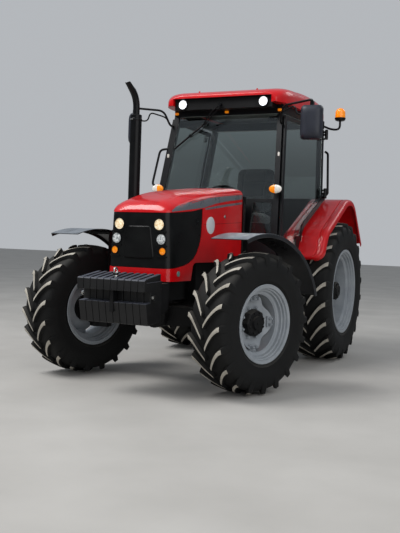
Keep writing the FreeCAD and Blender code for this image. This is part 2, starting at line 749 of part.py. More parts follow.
# One row a section: y, half width at the bottom, half width at the shoulder, shoulder z, crown z
bonnet_sections = [
    (-1662, 285, 258, 1492, 1510),
    (-1600, 306, 280, 1530, 1568),
    (-1438, 320, 300, 1573, 1618),
    (-1213, 335, 320, 1629, 1668),
    (-959, 345, 335, 1672, 1706),
    (bonnet_rear_y, 360, 356, 1746, 1775),
]
grille_outline = [(-1700, 1018), (-1430, 1046), (-1268, 1106), (-1184, 1198), (-1142, 1304), (-1122, 1544),
                  (-1290, 1514), (-1480, 1496), (-1700, 1480)]
grille_inset = 3.0
grille_proud = 6.0
grille_middle = [(-155, 1100), (155, 1100), (132, 1340), (112, 1373), (-112, 1373), (-132, 1340)]
# One row a rib: height, inner x, outer x
lamp_ribs = [(1325, 150, 268), (1208, 166, 276), (1118, 180, 282)]
hinge_y = bonnet_rear_y
hinge_z = 1752.0
hinge_pin_r = 5.0
hinge_lug_r = 8.5
bulkhead_gap = 4.0


def bonnet_solid(inset):
    """The bonnet's outline as a solid, each face moved in by the inset."""
    sections = []
    for k, (y, low, shoulder, z_side, z_top) in enumerate(bonnet_sections):
        if k == 0:
            y += inset
        low, shoulder, z_side, z_top = low - inset, shoulder - inset, z_side - inset, z_top - inset
        z0 = bonnet_z0 - (60 if inset else 0)
        sections.append([V(-low, y, z0), V(low, y, z0), V(shoulder, y, z_side), V(shoulder - 95, y, z_top),
                         V(-shoulder + 95, y, z_top), V(-shoulder, y, z_side)])
    if inset:
        sections.append([p + V(0, 60, 0) for p in sections[-1]])
    return fused([loft(sections[i:i + 2]) for i in range(len(sections) - 1)])


def grille_window():
    return side_plate(grille_outline, -420, 420)


def make_bonnet():
    skirt = side_plate([(bonnet_step_y - 60, bonnet_z0 - 100), (bonnet_step_y, bonnet_step_z),
                        (bonnet_rear_y + 100, bonnet_step_z), (bonnet_rear_y + 100, bonnet_z0 - 100)], -420, 420)
    shell = bonnet_solid(0).cut(bonnet_solid(bonnet_wall))
    shell = shell.cut(skirt).cut(grille_window())
    ears = []
    for side in (-1, 1):
        x0, x1 = sorted((side * 150, side * 166))
        ear = side_plate([(hinge_y - 90, 1770), (hinge_y - 90, 1735), (hinge_y, hinge_z - hinge_lug_r),
                          (hinge_y, 1770)], x0, x1)
        ears += [ear, cylinder(V(x0, hinge_y, hinge_z), V(x1, hinge_y, hinge_z), hinge_lug_r)]
    inside = bonnet_solid(bonnet_wall / 2)
    shell = fused([shell] + [e.common(inside) for e in ears])
    shell = shell.cut(cylinder(V(-200, hinge_y, hinge_z), V(200, hinge_y, hinge_z), hinge_pin_r + pin_clearance))
    save("bonnet", shell)
    save("grille", make_grille())


def make_grille():
    """Black nose panel with a raised middle and ribs over and under the lamps."""
    skin_depth = 9
    panel = bonnet_solid(grille_inset).cut(bonnet_solid(grille_inset + skin_depth)).common(grille_window())
    face_y = bonnet_sections[0][0] + grille_inset
    middle = front_plate(grille_middle, face_y - grille_proud, face_y + 2)
    ribs = []
    for z, x0, x1 in lamp_ribs:
        ribs += both_sides(box(x0, x1, face_y - grille_proud, face_y + 2, z - 3, z + 3))
    return fused([panel, middle] + ribs)


def make_bulkhead():
    """Black frame behind the bonnet, with the hinge lugs and their pins."""
    y0 = bonnet_rear_y + bulkhead_gap
    plate = front_plate([(-372, 1000), (372, 1000), (368, 1700), (270, 1735), (-270, 1735), (-368, 1700)],
                        y0, y0 + 56)
    plate = plate.cut(box(-400, 400, front_y(floor_z) - 6, 0, 900, 1240))
    legs = box(-160, 160, y0, front_y(floor_z) - 6, gearbox_z1, 1000)
    pieces = [plate, legs]
    for side in (-1, 1):
        x0, x1 = sorted((side * 130, side * 149.5))
        pieces.append(side_plate([(hinge_y - hinge_lug_r, 1700), (y0 + 1, 1700), (y0 + 1, 1735),
                                  (hinge_y + hinge_lug_r, hinge_z), (hinge_y - hinge_lug_r, hinge_z)], x0, x1))
        pieces.append(cylinder(V(x0, hinge_y, hinge_z), V(x1, hinge_y, hinge_z), hinge_lug_r))
        p0, p1 = sorted((side * 130, side * 174))
        pieces.append(cylinder(V(p0, hinge_y, hinge_z), V(p1, hinge_y, hinge_z), hinge_pin_r))
    save("bulkhead", fused(pieces))


# x, z, radius of each lens on the nose
headlamps = [(190, 1384, 46), (213, 1263, 44), (228, 1164, 31)]


def make_headlamps():
    lenses = []
    nose_y = bonnet_sections[0][0]
    for x, z, r in headlamps:
        lens = cylinder(V(x, nose_y - 9, z), V(x, nose_y + 3, z), r)
        lenses += both_sides(lens)
    save("headlamps", lenses)


# Cab: posts and glass lean in; the side planes open a little towards the rear

side_lean = 0.088
side_flare = 0.065
front_lean = 0.226
rear_lean = 0.2
post_foot_z = 1350.0
post_foot_y = -210.0
post_foot_x = 690.0
floor_z = 1085.0
floor_wall = 25.0
frame_z0 = 2552.0
frame_z1 = 2640.0
post_wide = 62.0
rear_post_wide = 95.0
post_deep = 55.0
rear_post_y = 985.0
rear_post_z = 1750.0
waist_z = 1690.0
glass_wall = 6.0
seal_gap = 0.3


def side_x(y, z):
    """Outer face of the cab's left side."""
    return post_foot_x - side_lean * (z - post_foot_z) + side_flare * (y - post_foot_y)


def front_y(z):
    """Outer face of the cab's front."""
    return post_foot_y + front_lean * (z - post_foot_z)


def back_y(z):
    """Front edge of the rear post."""
    return rear_post_y + rear_lean * (z - rear_post_z)


def cab_plate(outline, out0, out1):
    """Plate in the cab's left side plane, between two distances outside it; outline in (y, z)."""
    normal = V(1, -side_flare, side_lean).normalize()
    points = [V(side_x(y, z), y, z) + normal * out0 for y, z in outline]
    face = Part.Face(Part.makePolygon(points + points[:1]))
    return face.extrude(normal * (out1 - out0))


def windscreen_plate(outline, back0, back1):
    """Plate in the leaning front plane; outline in (x, z)."""
    points = [V(x, front_y(z) + back0, z) for x, z in outline]
    face = Part.Face(Part.makePolygon(points + points[:1]))
    return face.extrude(V(0, back1 - back0, 0))


def inner_x(z):
    """Inner side of the front post at a height."""
    return side_x(front_y(z), z) - post_deep * 1.02


# Crown of the rear fender in side view. One row a corner: angle about the rear axle from rearwards up,
# clearance over the tyre's tips, corner radius
crown_rows = [(155.74, 133.4, 0), (136.96, 175.4, 260),
              (85.48, 261.2, 400), (70.44, 320.1, 320),
              (34.79, 182.6, 0)]
crown_path = []
for crown_angle, clearance, corner_r in crown_rows:
    reach = REAR["tip_r"] + clearance
    crown_path.append((rear_axle_y + reach * math.cos(math.radians(crown_angle)),
                       REAR["tip_r"] + reach * math.sin(math.radians(crown_angle)), corner_r))
fender_inner_wall_x = 562.0
fender_outer_wall_x = 1000.0
fender_sheet = 8.0
lip_drop = 66.0


def offset_path(path, distance):
    """The path moved sideways, away from the tyre for a positive distance."""
    out = []
    for k, (y, z, r) in enumerate(path):
        normals = []
        for a, b in ((k - 1, k), (k, k + 1)):
            if a >= 0 and b < len(path):
                dy, dz = path[b][0] - path[a][0], path[b][1] - path[a][1]
                size = math.hypot(dy, dz)
                normals.append((-dz / size, dy / size))
        if len(normals) == 1:
            normals = normals * 2
        (ay, az), (by, bz) = normals
        scale = distance / (1 + ay * by + az * bz)
        out.append((y + (ay + by) * scale, z + (az + bz) * scale, r + distance if r else 0))
    return out


def path_edges(path, x):
    """Straight runs joined by arcs, in the plane at x."""
    edges = []
    start = V(x, path[0][0], path[0][1])
    for k in range(1, len(path) - 1):
        before = V(x, path[k - 1][0], path[k - 1][1])
        corner = V(x, path[k][0], path[k][1])
        after = V(x, path[k + 1][0], path[k + 1][1])
        into, out = (corner - before).normalize(), (after - corner).normalize()
        turn = into.getAngle(out)
        back = path[k][2] * math.tan(turn / 2)
        a, b = corner - into * back, corner + out * back
        middle = corner + (out - into).normalize() * (path[k][2] / math.cos(turn / 2) - path[k][2])
        edges.append(Part.LineSegment(start, a).toShape())
        edges.append(Part.Arc(a, middle, b).toShape())
        start = b
    end = V(x, path[-1][0], path[-1][1])
    edges.append(Part.LineSegment(start, end).toShape())
    return edges, V(x, path[0][0], path[0][1]), end


def crown_band(low, high, x0, x1):
    """Sheet that follows the crown between two offsets."""
    lower, a0, a1 = path_edges(offset_path(crown_path, low), x0)
    upper, b0, b1 = path_edges(offset_path(crown_path, high), x0)
    wire = Part.Wire(Part.__sortEdges__(lower + upper + [Part.LineSegment(a0, b0).toShape(),
                                                         Part.LineSegment(a1, b1).toShape()]))
    return Part.Face(wire).extrude(V(x1 - x0, 0, 0))


def under_crown(offset, floor, x0, x1):
    """Everything under the crown's line, down to a floor height."""
    edges, start, end = path_edges(offset_path(crown_path, offset), x0)
    low_a, low_b = V(x0, start.y, floor), V(x0, end.y, floor)
    ring = edges + [Part.LineSegment(end, low_b).toShape(), Part.LineSegment(low_b, low_a).toShape(),
                    Part.LineSegment(low_a, start).toShape()]
    return Part.Face(Part.Wire(Part.__sortEdges__(ring))).extrude(V(x1 - x0, 0, 0))


def make_rear_fenders():
    crown = crown_band(-fender_sheet, 0, fender_inner_wall_x, fender_outer_wall_x)
    lip = crown_band(-lip_drop, -fender_sheet, fender_outer_wall_x - fender_sheet, fender_outer_wall_x)
    wall = under_crown(-fender_sheet, floor_z - floor_wall, fender_inner_wall_x,
                       fender_inner_wall_x + fender_sheet)
    fender = fused([crown, lip, wall])
    save("rear_fenders", both_sides(fender))


strip_back = 9.0


def left_front_post():
    z0 = floor_z - floor_wall
    return cab_plate([(front_y(z0), z0), (front_y(frame_z0), frame_z0),
                      (front_y(frame_z0) + post_wide, frame_z0), (front_y(z0) + post_wide, z0)],
                     -post_deep, 0)


def make_cab_frame():
    front_post = left_front_post()
    foot_z = 1640
    rear_post = cab_plate([(back_y(foot_z), foot_z), (back_y(frame_z0), frame_z0),
                           (back_y(frame_z0) + rear_post_wide, frame_z0),
                           (back_y(foot_z) + rear_post_wide, foot_z)], -post_deep, -strip_back)
    slab = cab_plate([(-600, 600), (-600, 2300), (1700, 2300), (1700, 600)], -post_deep, -strip_back)
    strip = crown_band(seal_gap, 66, 560, 800).common(slab)
    strip = strip.common(box(0, far, 100, cab_rear_y, 1000, far))
    rear_post = rear_post.cut(under_crown(seal_gap, 900, 500, 900))
    save("cab_posts", both_sides(front_post) + both_sides(fused([strip, rear_post] + make_fixed_hinges())))
    ends = [(side_x(front_y(frame_z0), frame_z0), front_y(frame_z0)),
            (side_x(back_y(frame_z0) + rear_post_wide, frame_z0), back_y(frame_z0) + rear_post_wide)]
    (fx, fy), (rx, ry) = ends
    ring = top_plate([(-fx, fy), (fx, fy), (rx, ry), (-rx, ry)], frame_z0, frame_z1)
    hole = top_plate([(-fx + 60, fy + 60), (fx - 60, fy + 60), (rx - 60, ry - 70), (-rx + 60, ry - 70)],
                     frame_z0 - 1, frame_z1 + 1)
    save("roof_frame", ring.cut(hole))


def make_cab_front():
    z0 = floor_z - floor_wall
    panel = windscreen_plate([(-inner_x(z0), z0), (inner_x(z0), z0), (inner_x(waist_z), waist_z),
                              (-inner_x(waist_z), waist_z)], 4, 34)
    window = [(400, 1350), (inner_x(1350) - 18, 1350), (inner_x(1655) - 18, 1655), (400, 1655)]
    for sign in (1, -1):
        hole = windscreen_plate([(sign * x, z) for x, z in window], -50, 90)
        panel = panel.cut(hole)
    panes = []
    for sign in (1, -1):
        panes.append(windscreen_plate([(sign * x, z) for x, z in window], 12, 12 + glass_wall))
    top = frame_z0
    screen = windscreen_plate([(-inner_x(waist_z), waist_z), (inner_x(waist_z), waist_z), (inner_x(top), top),
                               (-inner_x(top), top)], 12, 12 + glass_wall)
    save("front_glass", [screen] + panes)
    return panel


platform_z = 1355.0
platform_y = 520.0
tub_half = fender_inner_wall_x


def make_cab_floor():
    z0 = floor_z - floor_wall
    front = front_y(floor_z) + 20
    floor = box(-tub_half, tub_half, front, platform_y, z0, floor_z)
    wings = both_sides(top_plate([(tub_half, front), (side_x(-150, z0) - 75, front),
                                  (side_x(200, z0) - 75, 290), (tub_half, 290)], z0, floor_z))
    riser = box(-tub_half, tub_half, platform_y - floor_wall, platform_y, floor_z, platform_z)
    deck = box(-tub_half, tub_half, platform_y - floor_wall, cab_rear_y, platform_z - floor_wall, platform_z)
    back = box(-tub_half, tub_half, cab_rear_y - floor_wall, cab_rear_y, platform_z, 1765)
    mounts = []
    for x, y in ((140, -150), (140, 420)):
        mounts += both_sides(cylinder(V(x, y, gearbox_z1), V(x, y, z0), 48))
    front_panel = make_cab_front()
    save("cab_tub", fused([floor, riser, deck, back, front_panel] + wings + mounts))


def make_rear_window():
    z0, z1 = 1768, frame_z0
    def at(z):
        y = back_y(z) + 40
        return side_x(y, z) - post_deep - 4, y
    (xa, ya), (xb, yb) = at(z0), at(z1)
    points = [V(-xa, ya, z0), V(xa, ya, z0), V(xb, yb, z1), V(-xb, yb, z1)]
    face = Part.Face(Part.makePolygon(points + points[:1]))
    save("rear_window", face.extrude(V(0, glass_wall, 0)))


# One row a section of the roof: y, half width, lower edge z, side top z, crown z
roof_sections = [
    (-100, 590, 2640, 2715, 2742),
    (-20, 640, 2640, 2740, 2778),
    (420, 668, 2640, 2790, 2836),
    (950, 668, 2640, 2806, 2856),
    (1240, 660, 2650, 2776, 2826),
    (1450, 600, 2680, 2704, 2728),
]
fascia_half = 540.0
fascia_z1 = 2712.0
fascia_y = -62.0


def make_roof():
    sections = []
    for y, half, z0, z_side, z_top in roof_sections:
        sections.append([V(-half, y, z0), V(half, y, z0), V(half, y, z_side), V(half - 120, y, z_top),
                         V(-half + 120, y, z_top), V(-half, y, z_side)])
    roof = fused([loft(sections[i:i + 2]) for i in range(len(sections) - 1)])
    recess = box(-fascia_half, fascia_half, -110, fascia_y + 20, 2600, fascia_z1)
    save("cab_roof", roof.cut(recess))
    face = box(-fascia_half + 2, fascia_half - 2, fascia_y, fascia_y + 20, 2606, fascia_z1 - 2)
    soffit = box(-fascia_half + 2, fascia_half - 2, fascia_y, front_y(frame_z0), 2600, 2640)
    save("roof_fascia", fused([face, soffit]))


def make_cab_lamps():
    lamps = []
    lamps += both_sides(cylinder(V(444, fascia_y - 14, 2655), V(444, fascia_y, 2655), 50))
    z = 1783
    y = front_y(z)
    x = side_x(y, z) - 12
    bar = cylinder(V(x, y - 36, z), V(x, y + 20, z), 12).cut(left_front_post())
    body = cylinder(V(x, y - 84, z), V(x, y - 36, z), 38)
    indicator = fused([bar, body])
    lamps += both_sides(indicator)
    save("cab_lamps", lamps)


# Doors: glass in a slim frame, hinged at the rear post

door_out = 6.0
door_wall = 20.0
door_frame_wide = 44.0
door_sill_z = 1090.0
door_top_z = 2530.0
door_edge_offset = 44.0
hinge_low = (1000.0, 1812.0)
hinge_high = (1132.0, 2470.0)
hinge_out = 62.0


def door_outline(inset):
    """Door's outline in (y, z), its lower rear side cut afterwards by the fender's line."""
    z0, z1 = door_sill_z + inset, door_top_z - inset
    front = 24 + inset
    rear = 20 - inset
    return [(front_y(z0) + front, z0), (front_y(z1) + front, z1), (back_y(z1) + rear, z1),
            (back_y(1790) + rear, 1790), (back_y(1790) + rear, z0)]


def door_blank(inset, out0, out1):
    blank = cab_plate(door_outline(inset), out0, out1)
    blank = blank.cut(under_crown(door_edge_offset + inset, 900, 500, 900))
    return blank.cut(box(500, 900, 235 - inset, 1300, 900, 1290 + inset))


def hinge_points():
    normal = V(1, -side_flare, side_lean).normalize()
    return [V(side_x(y, z), y, z) + normal * hinge_out for y, z in (hinge_low, hinge_high)]


def make_fixed_hinges():
    """Hinge forks and pins on the rear post, for both hinges of the left door."""
    low, high = hinge_points()
    along = (high - low).normalize()
    normal = V(1, -side_flare, side_lean).normalize()
    parts = []
    for p in (low, high):
        for a, b in ((-54, -26.3), (26.3, 54)):
            start, end = p + along * a, p + along * b
            middle = (start + end) * 0.5
            parts.append(prism(start, end, 18, 12))
            parts.append(prism(middle, middle - normal * (hinge_out + strip_back + 6) + V(0, 90, 0), 11, 6))
        parts.append(cylinder(p - along * 50, p + along * 50, 9))
    return parts


def make_doors():
    blank = door_blank(0, door_out, door_out + door_wall)
    hole = door_blank(door_frame_wide, door_out - 20, door_out + door_wall + 20)
    frame = blank.cut(hole)
    pane = door_blank(door_frame_wide, door_out + 7, door_out + 7 + glass_wall)
    low, high = hinge_points()
    along = (high - low).normalize()
    normal = V(1, -side_flare, side_lean).normalize()
    knuckles = []
    for p in (low, high):
        knuckles.append(prism(p - along * 26, p + along * 26, 18, 12))
        reach = p - normal * (hinge_out - door_out - door_wall / 2) + V(0, -10, 0)
        knuckles.append(prism(p, reach, 13, 6))
    door = fused([frame] + knuckles)
    for p in (low, high):
        door = door.cut(cylinder(p - along * 60, p + along * 60, 9 + pin_clearance))
    for side, name in ((lambda s: s, "left"), (mirrored, "right")):
        save(f"door_frame_{name}", side(door))
        save(f"door_glass_{name}", side(pane))


def make_inside():
    console = side_plate([(-196, floor_z), (20, floor_z), (60, 1560), (-90, 1560)], -150, 150)
    column = cylinder(V(0, 20, 1540), V(0, 130, 1700), 30)
    axis = V(0, 110, 160).normalize()
    hubp = V(0, 130, 1700)
    wheel = facet_ring([(-13, 186), (-7, 198), (7, 198), (13, 186), (7, 174), (-7, 174)], 24)
    wheel.Placement = FreeCAD.Placement(hubp + axis * 20, FreeCAD.Rotation(V(1, 0, 0), axis))
    spoke = Part.makeCylinder(14, 384, hubp + axis * 20 - V(192, 0, 0), V(1, 0, 0))
    boss = Part.makeCylinder(40, 40, hubp, axis)
    save("steering_console", fused([console, column, wheel, spoke, boss]))
    pan = box(-180, 180, 500, 800, platform_z, 1470)
    shell = side_plate([(800, 1400), (930, 1400), (990, 2000), (972, 2000), (890, 1470), (800, 1470)], -120, 120)
    save("seat_base", fused([pan, shell]))
    cushion = box(-240, 240, 440, 880, 1470, 1580)
    back = side_plate([(908, 1590), (983, 2080), (903, 2095), (810, 1590)], -225, 225)
    save("seat_cushions", [cushion, back])


def make_mirrors_and_beacon():
    x, y, z = 990, -235, 2450
    head = box(x - 78, x + 78, y - 20, y + 24, z - 165, z + 165)
    top = 2530
    root = V(side_x(front_y(top) + 10, top), front_y(top) + 6, top)
    arm = bent_bar([V(root.x, front_y(2450) + 20, 2450), V(root.x + 10, front_y(2450) - 60, 2450),
                    V(root.x + 60, -120, 2640), V(x, y, 2655), V(x, y, z + 164)], 11, 34)
    arm = arm.cut(left_front_post())
    save("mirrors", both_sides(fused([head, arm])))
    bx, by, plate_z = 840, 1300, 2690
    root_y = back_y(frame_z0) + rear_post_wide + seal_gap
    arm = bent_bar([V(600, root_y, 2596), V(600, by, 2596), V(bx, by, 2596), V(bx, by, plate_z + 10)], 12, 34)
    base = prism(V(bx, by, plate_z), V(bx, by, plate_z + 35), 62, 24)
    dome = prism(V(bx, by, plate_z + 35), V(bx, by, plate_z + 145), 56, 24)
    save("beacon", fused([arm, base, dome]))


def make_steps():
    def one(x0):
        side = [side_plate([(-120, 470), (-60, 470), (-40, floor_z - floor_wall), (-140, floor_z - floor_wall)],
                           x0, x0 + 14),
                side_plate([(240, 470), (300, 470), (290, floor_z - floor_wall), (220, floor_z - floor_wall)],
                           x0, x0 + 14)]
        return side
    treads = [box(600, 790, -110, 290, z, z + 30) for z in (470, 690, 890)]
    frame = fused(one(600) + one(776) + treads + [box(560, 790, -110, 250, 1030, 1060)])
    save("steps", both_sides(frame))


make_wheels()
make_knuckles()
make_steering()
make_front_end()
make_drivetrain()
make_rear_axle()
make_lower_links()
make_lift()
make_top_link()
make_drawbar()
make_exhaust()
make_side_boxes()
make_bonnet()
make_bulkhead()
make_headlamps()
make_rear_fenders()
make_cab_frame()
make_cab_floor()
make_rear_window()
make_roof()
make_cab_lamps()
make_doors()
make_inside()
make_mirrors_and_beacon()
make_steps()
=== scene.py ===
# %% [markdown]
# This notebook dresses a farm tractor with a cab. The CAD model gives every rigid body its place, so the
# first cell only loads it as a fixed frame. Everything after this hangs on those bodies by name.

import math

import bmesh
import bpy
from mathutils import Matrix, Vector


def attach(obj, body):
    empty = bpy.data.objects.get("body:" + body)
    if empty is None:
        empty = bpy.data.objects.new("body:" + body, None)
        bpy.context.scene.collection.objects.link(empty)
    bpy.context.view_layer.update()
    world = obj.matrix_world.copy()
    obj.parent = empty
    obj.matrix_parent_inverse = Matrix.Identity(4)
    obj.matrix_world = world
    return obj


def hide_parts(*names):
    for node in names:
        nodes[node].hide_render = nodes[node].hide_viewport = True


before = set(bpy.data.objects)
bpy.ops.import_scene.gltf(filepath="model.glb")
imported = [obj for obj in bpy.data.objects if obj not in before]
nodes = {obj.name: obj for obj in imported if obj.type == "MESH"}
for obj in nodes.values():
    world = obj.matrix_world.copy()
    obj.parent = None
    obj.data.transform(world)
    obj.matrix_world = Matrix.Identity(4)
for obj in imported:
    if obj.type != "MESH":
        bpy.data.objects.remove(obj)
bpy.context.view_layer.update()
scene = bpy.context.scene
tau = 2 * math.pi

# %% [markdown]
# A photograph fixes three things about its camera: where it stood, which way it looked and how long its
# lens was. They were fitted to the wheels and the cab's corners, and are written here as a position and
# three directions, which become the columns of the camera's matrix.

# %% Camera
camera_place = Vector((3.283, -7.328, 1.284))
camera_right = Vector((0.9013, 0.4320, 0.0337))
camera_up = Vector((-0.0460, 0.0181, 0.9988))
camera_ahead = Vector((-0.4308, 0.9017, -0.0362))
focal_pixels = 783.2
image_height = 533


def shown(name, data):
    """A new object in the scene."""
    thing = bpy.data.objects.new(name, data)
    scene.collection.objects.link(thing)
    return thing


camera_data = bpy.data.cameras.new("photo_camera")
camera_data.sensor_width = 36.0
camera_data.lens = focal_pixels * camera_data.sensor_width / image_height
camera = shown("photo_camera", camera_data)
columns = Matrix((camera_right, camera_up, -camera_ahead)).transposed()
camera.matrix_world = Matrix.Translation(camera_place) @ columns.to_4x4()
scene.camera = camera
scene.view_settings.view_transform = "Standard"
print("lens", round(camera_data.lens, 1), "mm")

# %% [markdown]
# Colours are written as sRGB hex values, the way a paint chart gives them, and one function turns them to
# the linear values that the shader wants. One more function adds a node with its settings and links, so
# that each material reads as a short recipe.

# %% Colour and node helpers


def linear(hex_colour):
    """Linear RGBA of an sRGB hex value."""
    rgba = []
    for i in (1, 3, 5):
        c = int(hex_colour[i:i + 2], 16) / 255
        rgba.append(c / 12.92 if c <= 0.04045 else ((c + 0.055) / 1.055) ** 2.4)
    return (*rgba, 1.0)


def add(tree, kind, inputs=None, **settings):
    """Add a node; inputs are values or sockets by input name or number."""
    node = tree.nodes.new(kind)
    for name, value in settings.items():
        setattr(node, name, value)
    for name, value in (inputs or {}).items():
        give(tree, node, name, value)
    return node


def give(tree, node, name, value):
    """Link a socket to a node's input, or set the input to a plain value."""
    if isinstance(value, bpy.types.NodeSocket):
        tree.links.new(value, node.inputs[name])
    else:
        node.inputs[name].default_value = value


def sums(tree, operation, a, b=0.0):
    """Result of a Math node."""
    return add(tree, "ShaderNodeMath", {0: a, 1: b}, operation=operation).outputs[0]


def mixed(tree, factor, a, b):
    """Colour between a and b; each is a socket or a hex value."""
    a, b = (linear(c) if isinstance(c, str) else c for c in (a, b))
    return add(tree, "ShaderNodeMix", {0: factor, 6: a, 7: b}, data_type="RGBA").outputs[2]


def bump(tree, height, strength, distance):
    """Normal of a Bump node."""
    inputs = {"Height": height, "Strength": strength, "Distance": distance}
    return add(tree, "ShaderNodeBump", inputs).outputs["Normal"]


def new_material(name):
    """A material with its object coordinates, as (material, tree, coordinates)."""
    material = bpy.data.materials.new(name)
    material.use_nodes = True
    tree = material.node_tree
    return material, tree, add(tree, "ShaderNodeTexCoord").outputs["Object"]


def shade(tree, **values):
    """Set the Principled shader's inputs; an underscore stands for a space."""
    for name, value in values.items():
        give(tree, tree.nodes["Principled BSDF"], name.replace("_", " "), value)


def ramp(tree, factor, stops):
    """Colour ramp with (position, hex) stops."""
    node = add(tree, "ShaderNodeValToRGB", {"Fac": factor})
    elements = node.color_ramp.elements
    elements[1].position = stops[-1][0]
    elements[0].position = stops[0][0]
    for position, _ in stops[1:-1]:
        elements.new(position)
    for element, (_, colour) in zip(elements, stops):
        element.color = linear(colour)
    return node.outputs["Color"]


print("helpers ready")

# %% [markdown]
# Most of a tractor is painted, moulded or cast, and what sets those finishes apart is how rough they are,
# how fine their grain is and how much dust they hold. This helper builds that common ground: a colour that
# wanders a little, a grain in the bump, and a paler colour on faces that look up. On most finishes that is
# pale dust that settles there; on the front weights and front fenders it is a painted sky highlight on their
# tops. Each finish below then has its own colours and sizes, taken from the real one.

# %% A surface with dust and painted sky highlight


def surface_with_dust_and_sheen(name, light, dark, rough, grain_mm, bump_mm, dust_and_sheen=0.0, dust_and_sheen_colour="#8f8a80",
              metallic=0.0, mirror=0.5):
    """Two close colours, a grain of that size, and a paler colour on what faces up: dust on most finishes,
    painted sky highlight on a few; a low mirror keeps black black.
    """
    material, tree, place = new_material(name)
    patches = add(tree, "ShaderNodeTexNoise",
                  {"Vector": place, "Scale": 7.0, "Detail": 6.0, "Roughness": 0.6}).outputs["Fac"]
    grain = add(tree, "ShaderNodeTexNoise", {"Vector": place, "Scale": 1000.0 / grain_mm, "Detail": 3.0})
    facing = add(tree, "ShaderNodeNewGeometry").outputs["Normal"]
    upward = add(tree, "ShaderNodeSeparateXYZ", {"Vector": facing}).outputs["Z"]
    # Faces that look up take the paler colour: dust on most finishes, a painted sky highlight on the weights'
    # and front fenders' tops.
    level = add(tree, "ShaderNodeMapRange",
                {"Value": upward, "From Min": 0.2, "From Max": 1.0, "To Max": dust_and_sheen})
    dust_and_sheen_share = sums(tree, "MULTIPLY", level.outputs["Result"], patches)
    gloss = add(tree, "ShaderNodeMapRange", {"Value": patches, "From Min": 0.3, "From Max": 0.7,
                                             "To Min": max(rough - 0.06, 0.02), "To Max": rough + 0.06})
    clean = ramp(tree, patches, [(0.30, dark), (0.70, light)])
    shade(tree, Base_Color=mixed(tree, dust_and_sheen_share, clean, dust_and_sheen_colour),
          Roughness=gloss.outputs["Result"], Metallic=metallic, Specular_IOR_Level=mirror,
          Normal=bump(tree, grain.outputs["Fac"], 0.6, bump_mm / 1000))
    return material


print("surface recipe ready")

# %% [markdown]
# The body panels are pressed steel sprayed in gloss enamel. Its eye-catcher is the hard clear reflection
# over a deep colour, so the shader gets a coat layer, and only a faint orange-peel ripple in the bump.
# The stripes on the bonnet's side are vinyl film, and most of the rest is powder coat, cast iron under
# thin paint, or plastic with a moulded grain.

# %% Plain finishes
red_enamel = surface_with_dust_and_sheen("gloss_red_enamel", "#d2060f", "#bd050d", 0.34, 4.0, 0.03, 0.02, "#a89e98",
                       mirror=0.25)
shade(red_enamel.node_tree, Coat_Weight=0.45, Coat_Roughness=0.05)
silver_enamel = surface_with_dust_and_sheen("satin_silver_grey_wheel_enamel", "#999ea3", "#848a90", 0.38, 3.0, 0.04, 0.15)
black_powder_coat = surface_with_dust_and_sheen("satin_black_powder_coat", "#0c0d0f", "#07080a", 0.34, 1.5, 0.04, 0.02,
                              mirror=0.22)
black_iron = surface_with_dust_and_sheen("black_painted_cast_iron", "#151516", "#0b0b0c", 0.62, 2.2, 0.35, 0.30, mirror=0.22)
# Painted highlight: the pale bluish grey on the weights' tops stands for the sky's reflection on them.
weight_iron = surface_with_dust_and_sheen("black_painted_weight_iron", "#1a1a1b", "#0e0e0f", 0.50, 3.0, 0.40, 0.75, "#6d7180",
                        mirror=0.35)
grained_plastic = surface_with_dust_and_sheen("black_grained_abs_plastic", "#131314", "#0b0b0c", 0.48, 1.2, 0.06, 0.08,
                            mirror=0.22)
nose_plastic = surface_with_dust_and_sheen("black_smooth_nose_panel_plastic", "#121313", "#0b0b0c", 0.32, 1.4, 0.03, 0.05,
                         mirror=0.22)
# Painted reflection: the pale bluish grey on the front fenders' tops stands for the sky's reflection in the
# smooth plastic.
fender_plastic = surface_with_dust_and_sheen("dark_grey_smooth_polyethylene", "#232529", "#17191c", 0.32, 5.0, 0.05, 1.4,
                           "#8c9299")
black_seam_and_hole_shade = surface_with_dust_and_sheen("black_seam_strip_and_painted_hole_shade", "#0e0e0e", "#080808", 0.65, 1.0, 0.05, 0.05, mirror=0.25)
console_plastic = surface_with_dust_and_sheen("grey_moulded_console_plastic", "#2b2d2f", "#202224", 0.55, 1.2, 0.08)
plated_steel = surface_with_dust_and_sheen("zinc_plated_steel", "#c9c9c6", "#adadaa", 0.28, 0.8, 0.01, metallic=1.0)
stripe_film = surface_with_dust_and_sheen("grey_vinyl_stripe_film", "#6b6e74", "#5f6268", 0.30, 3.0, 0.01, 0.05)
white_plate = surface_with_dust_and_sheen("white_enamelled_plate", "#d9dbdd", "#cbced1", 0.35, 3.0, 0.01)
grey_reflector = surface_with_dust_and_sheen("grey_green_reflector_plastic", "#6f8f8a", "#587a76", 0.22, 3.0, 0.02)
# Painted sheen: the slight blue in the shell's dark grey stands for the sky's reflection on its back.
mirror_shell = surface_with_dust_and_sheen("dark_grey_mirror_shell_with_painted_blue_sheen", "#2a2d38", "#20232c", 0.45, 1.2, 0.05, 0.06,
                         mirror=0.4)
mirror_glass = surface_with_dust_and_sheen("silvered_mirror_glass", "#c3ccd0", "#b9c2c6", 0.06, 5.0, 0.0, metallic=1.0)
tyre_rubber = surface_with_dust_and_sheen("black_ribbed_tyre_rubber", "#161616", "#0d0d0d", 0.72, 2.5, 0.25, 0.35, "#77736b",
                        mirror=0.25)
worn_rubber = surface_with_dust_and_sheen("dusty_trodden_bar_faces", "#c2bcb0", "#989287", 0.88, 3.0, 0.40)
print("plain finishes ready")

# %% [markdown]
# Cab windows are tempered glass with a green tint. A pane is a real 5 mm sheet in the CAD, and light is
# tinted at each of its faces, so a very pale colour with glass's own index gives both the tint and the
# mirror-like glance. A lamp's lens is moulded with fine ribs and glows, as its lamp is lit.

# %% Glass and lamps


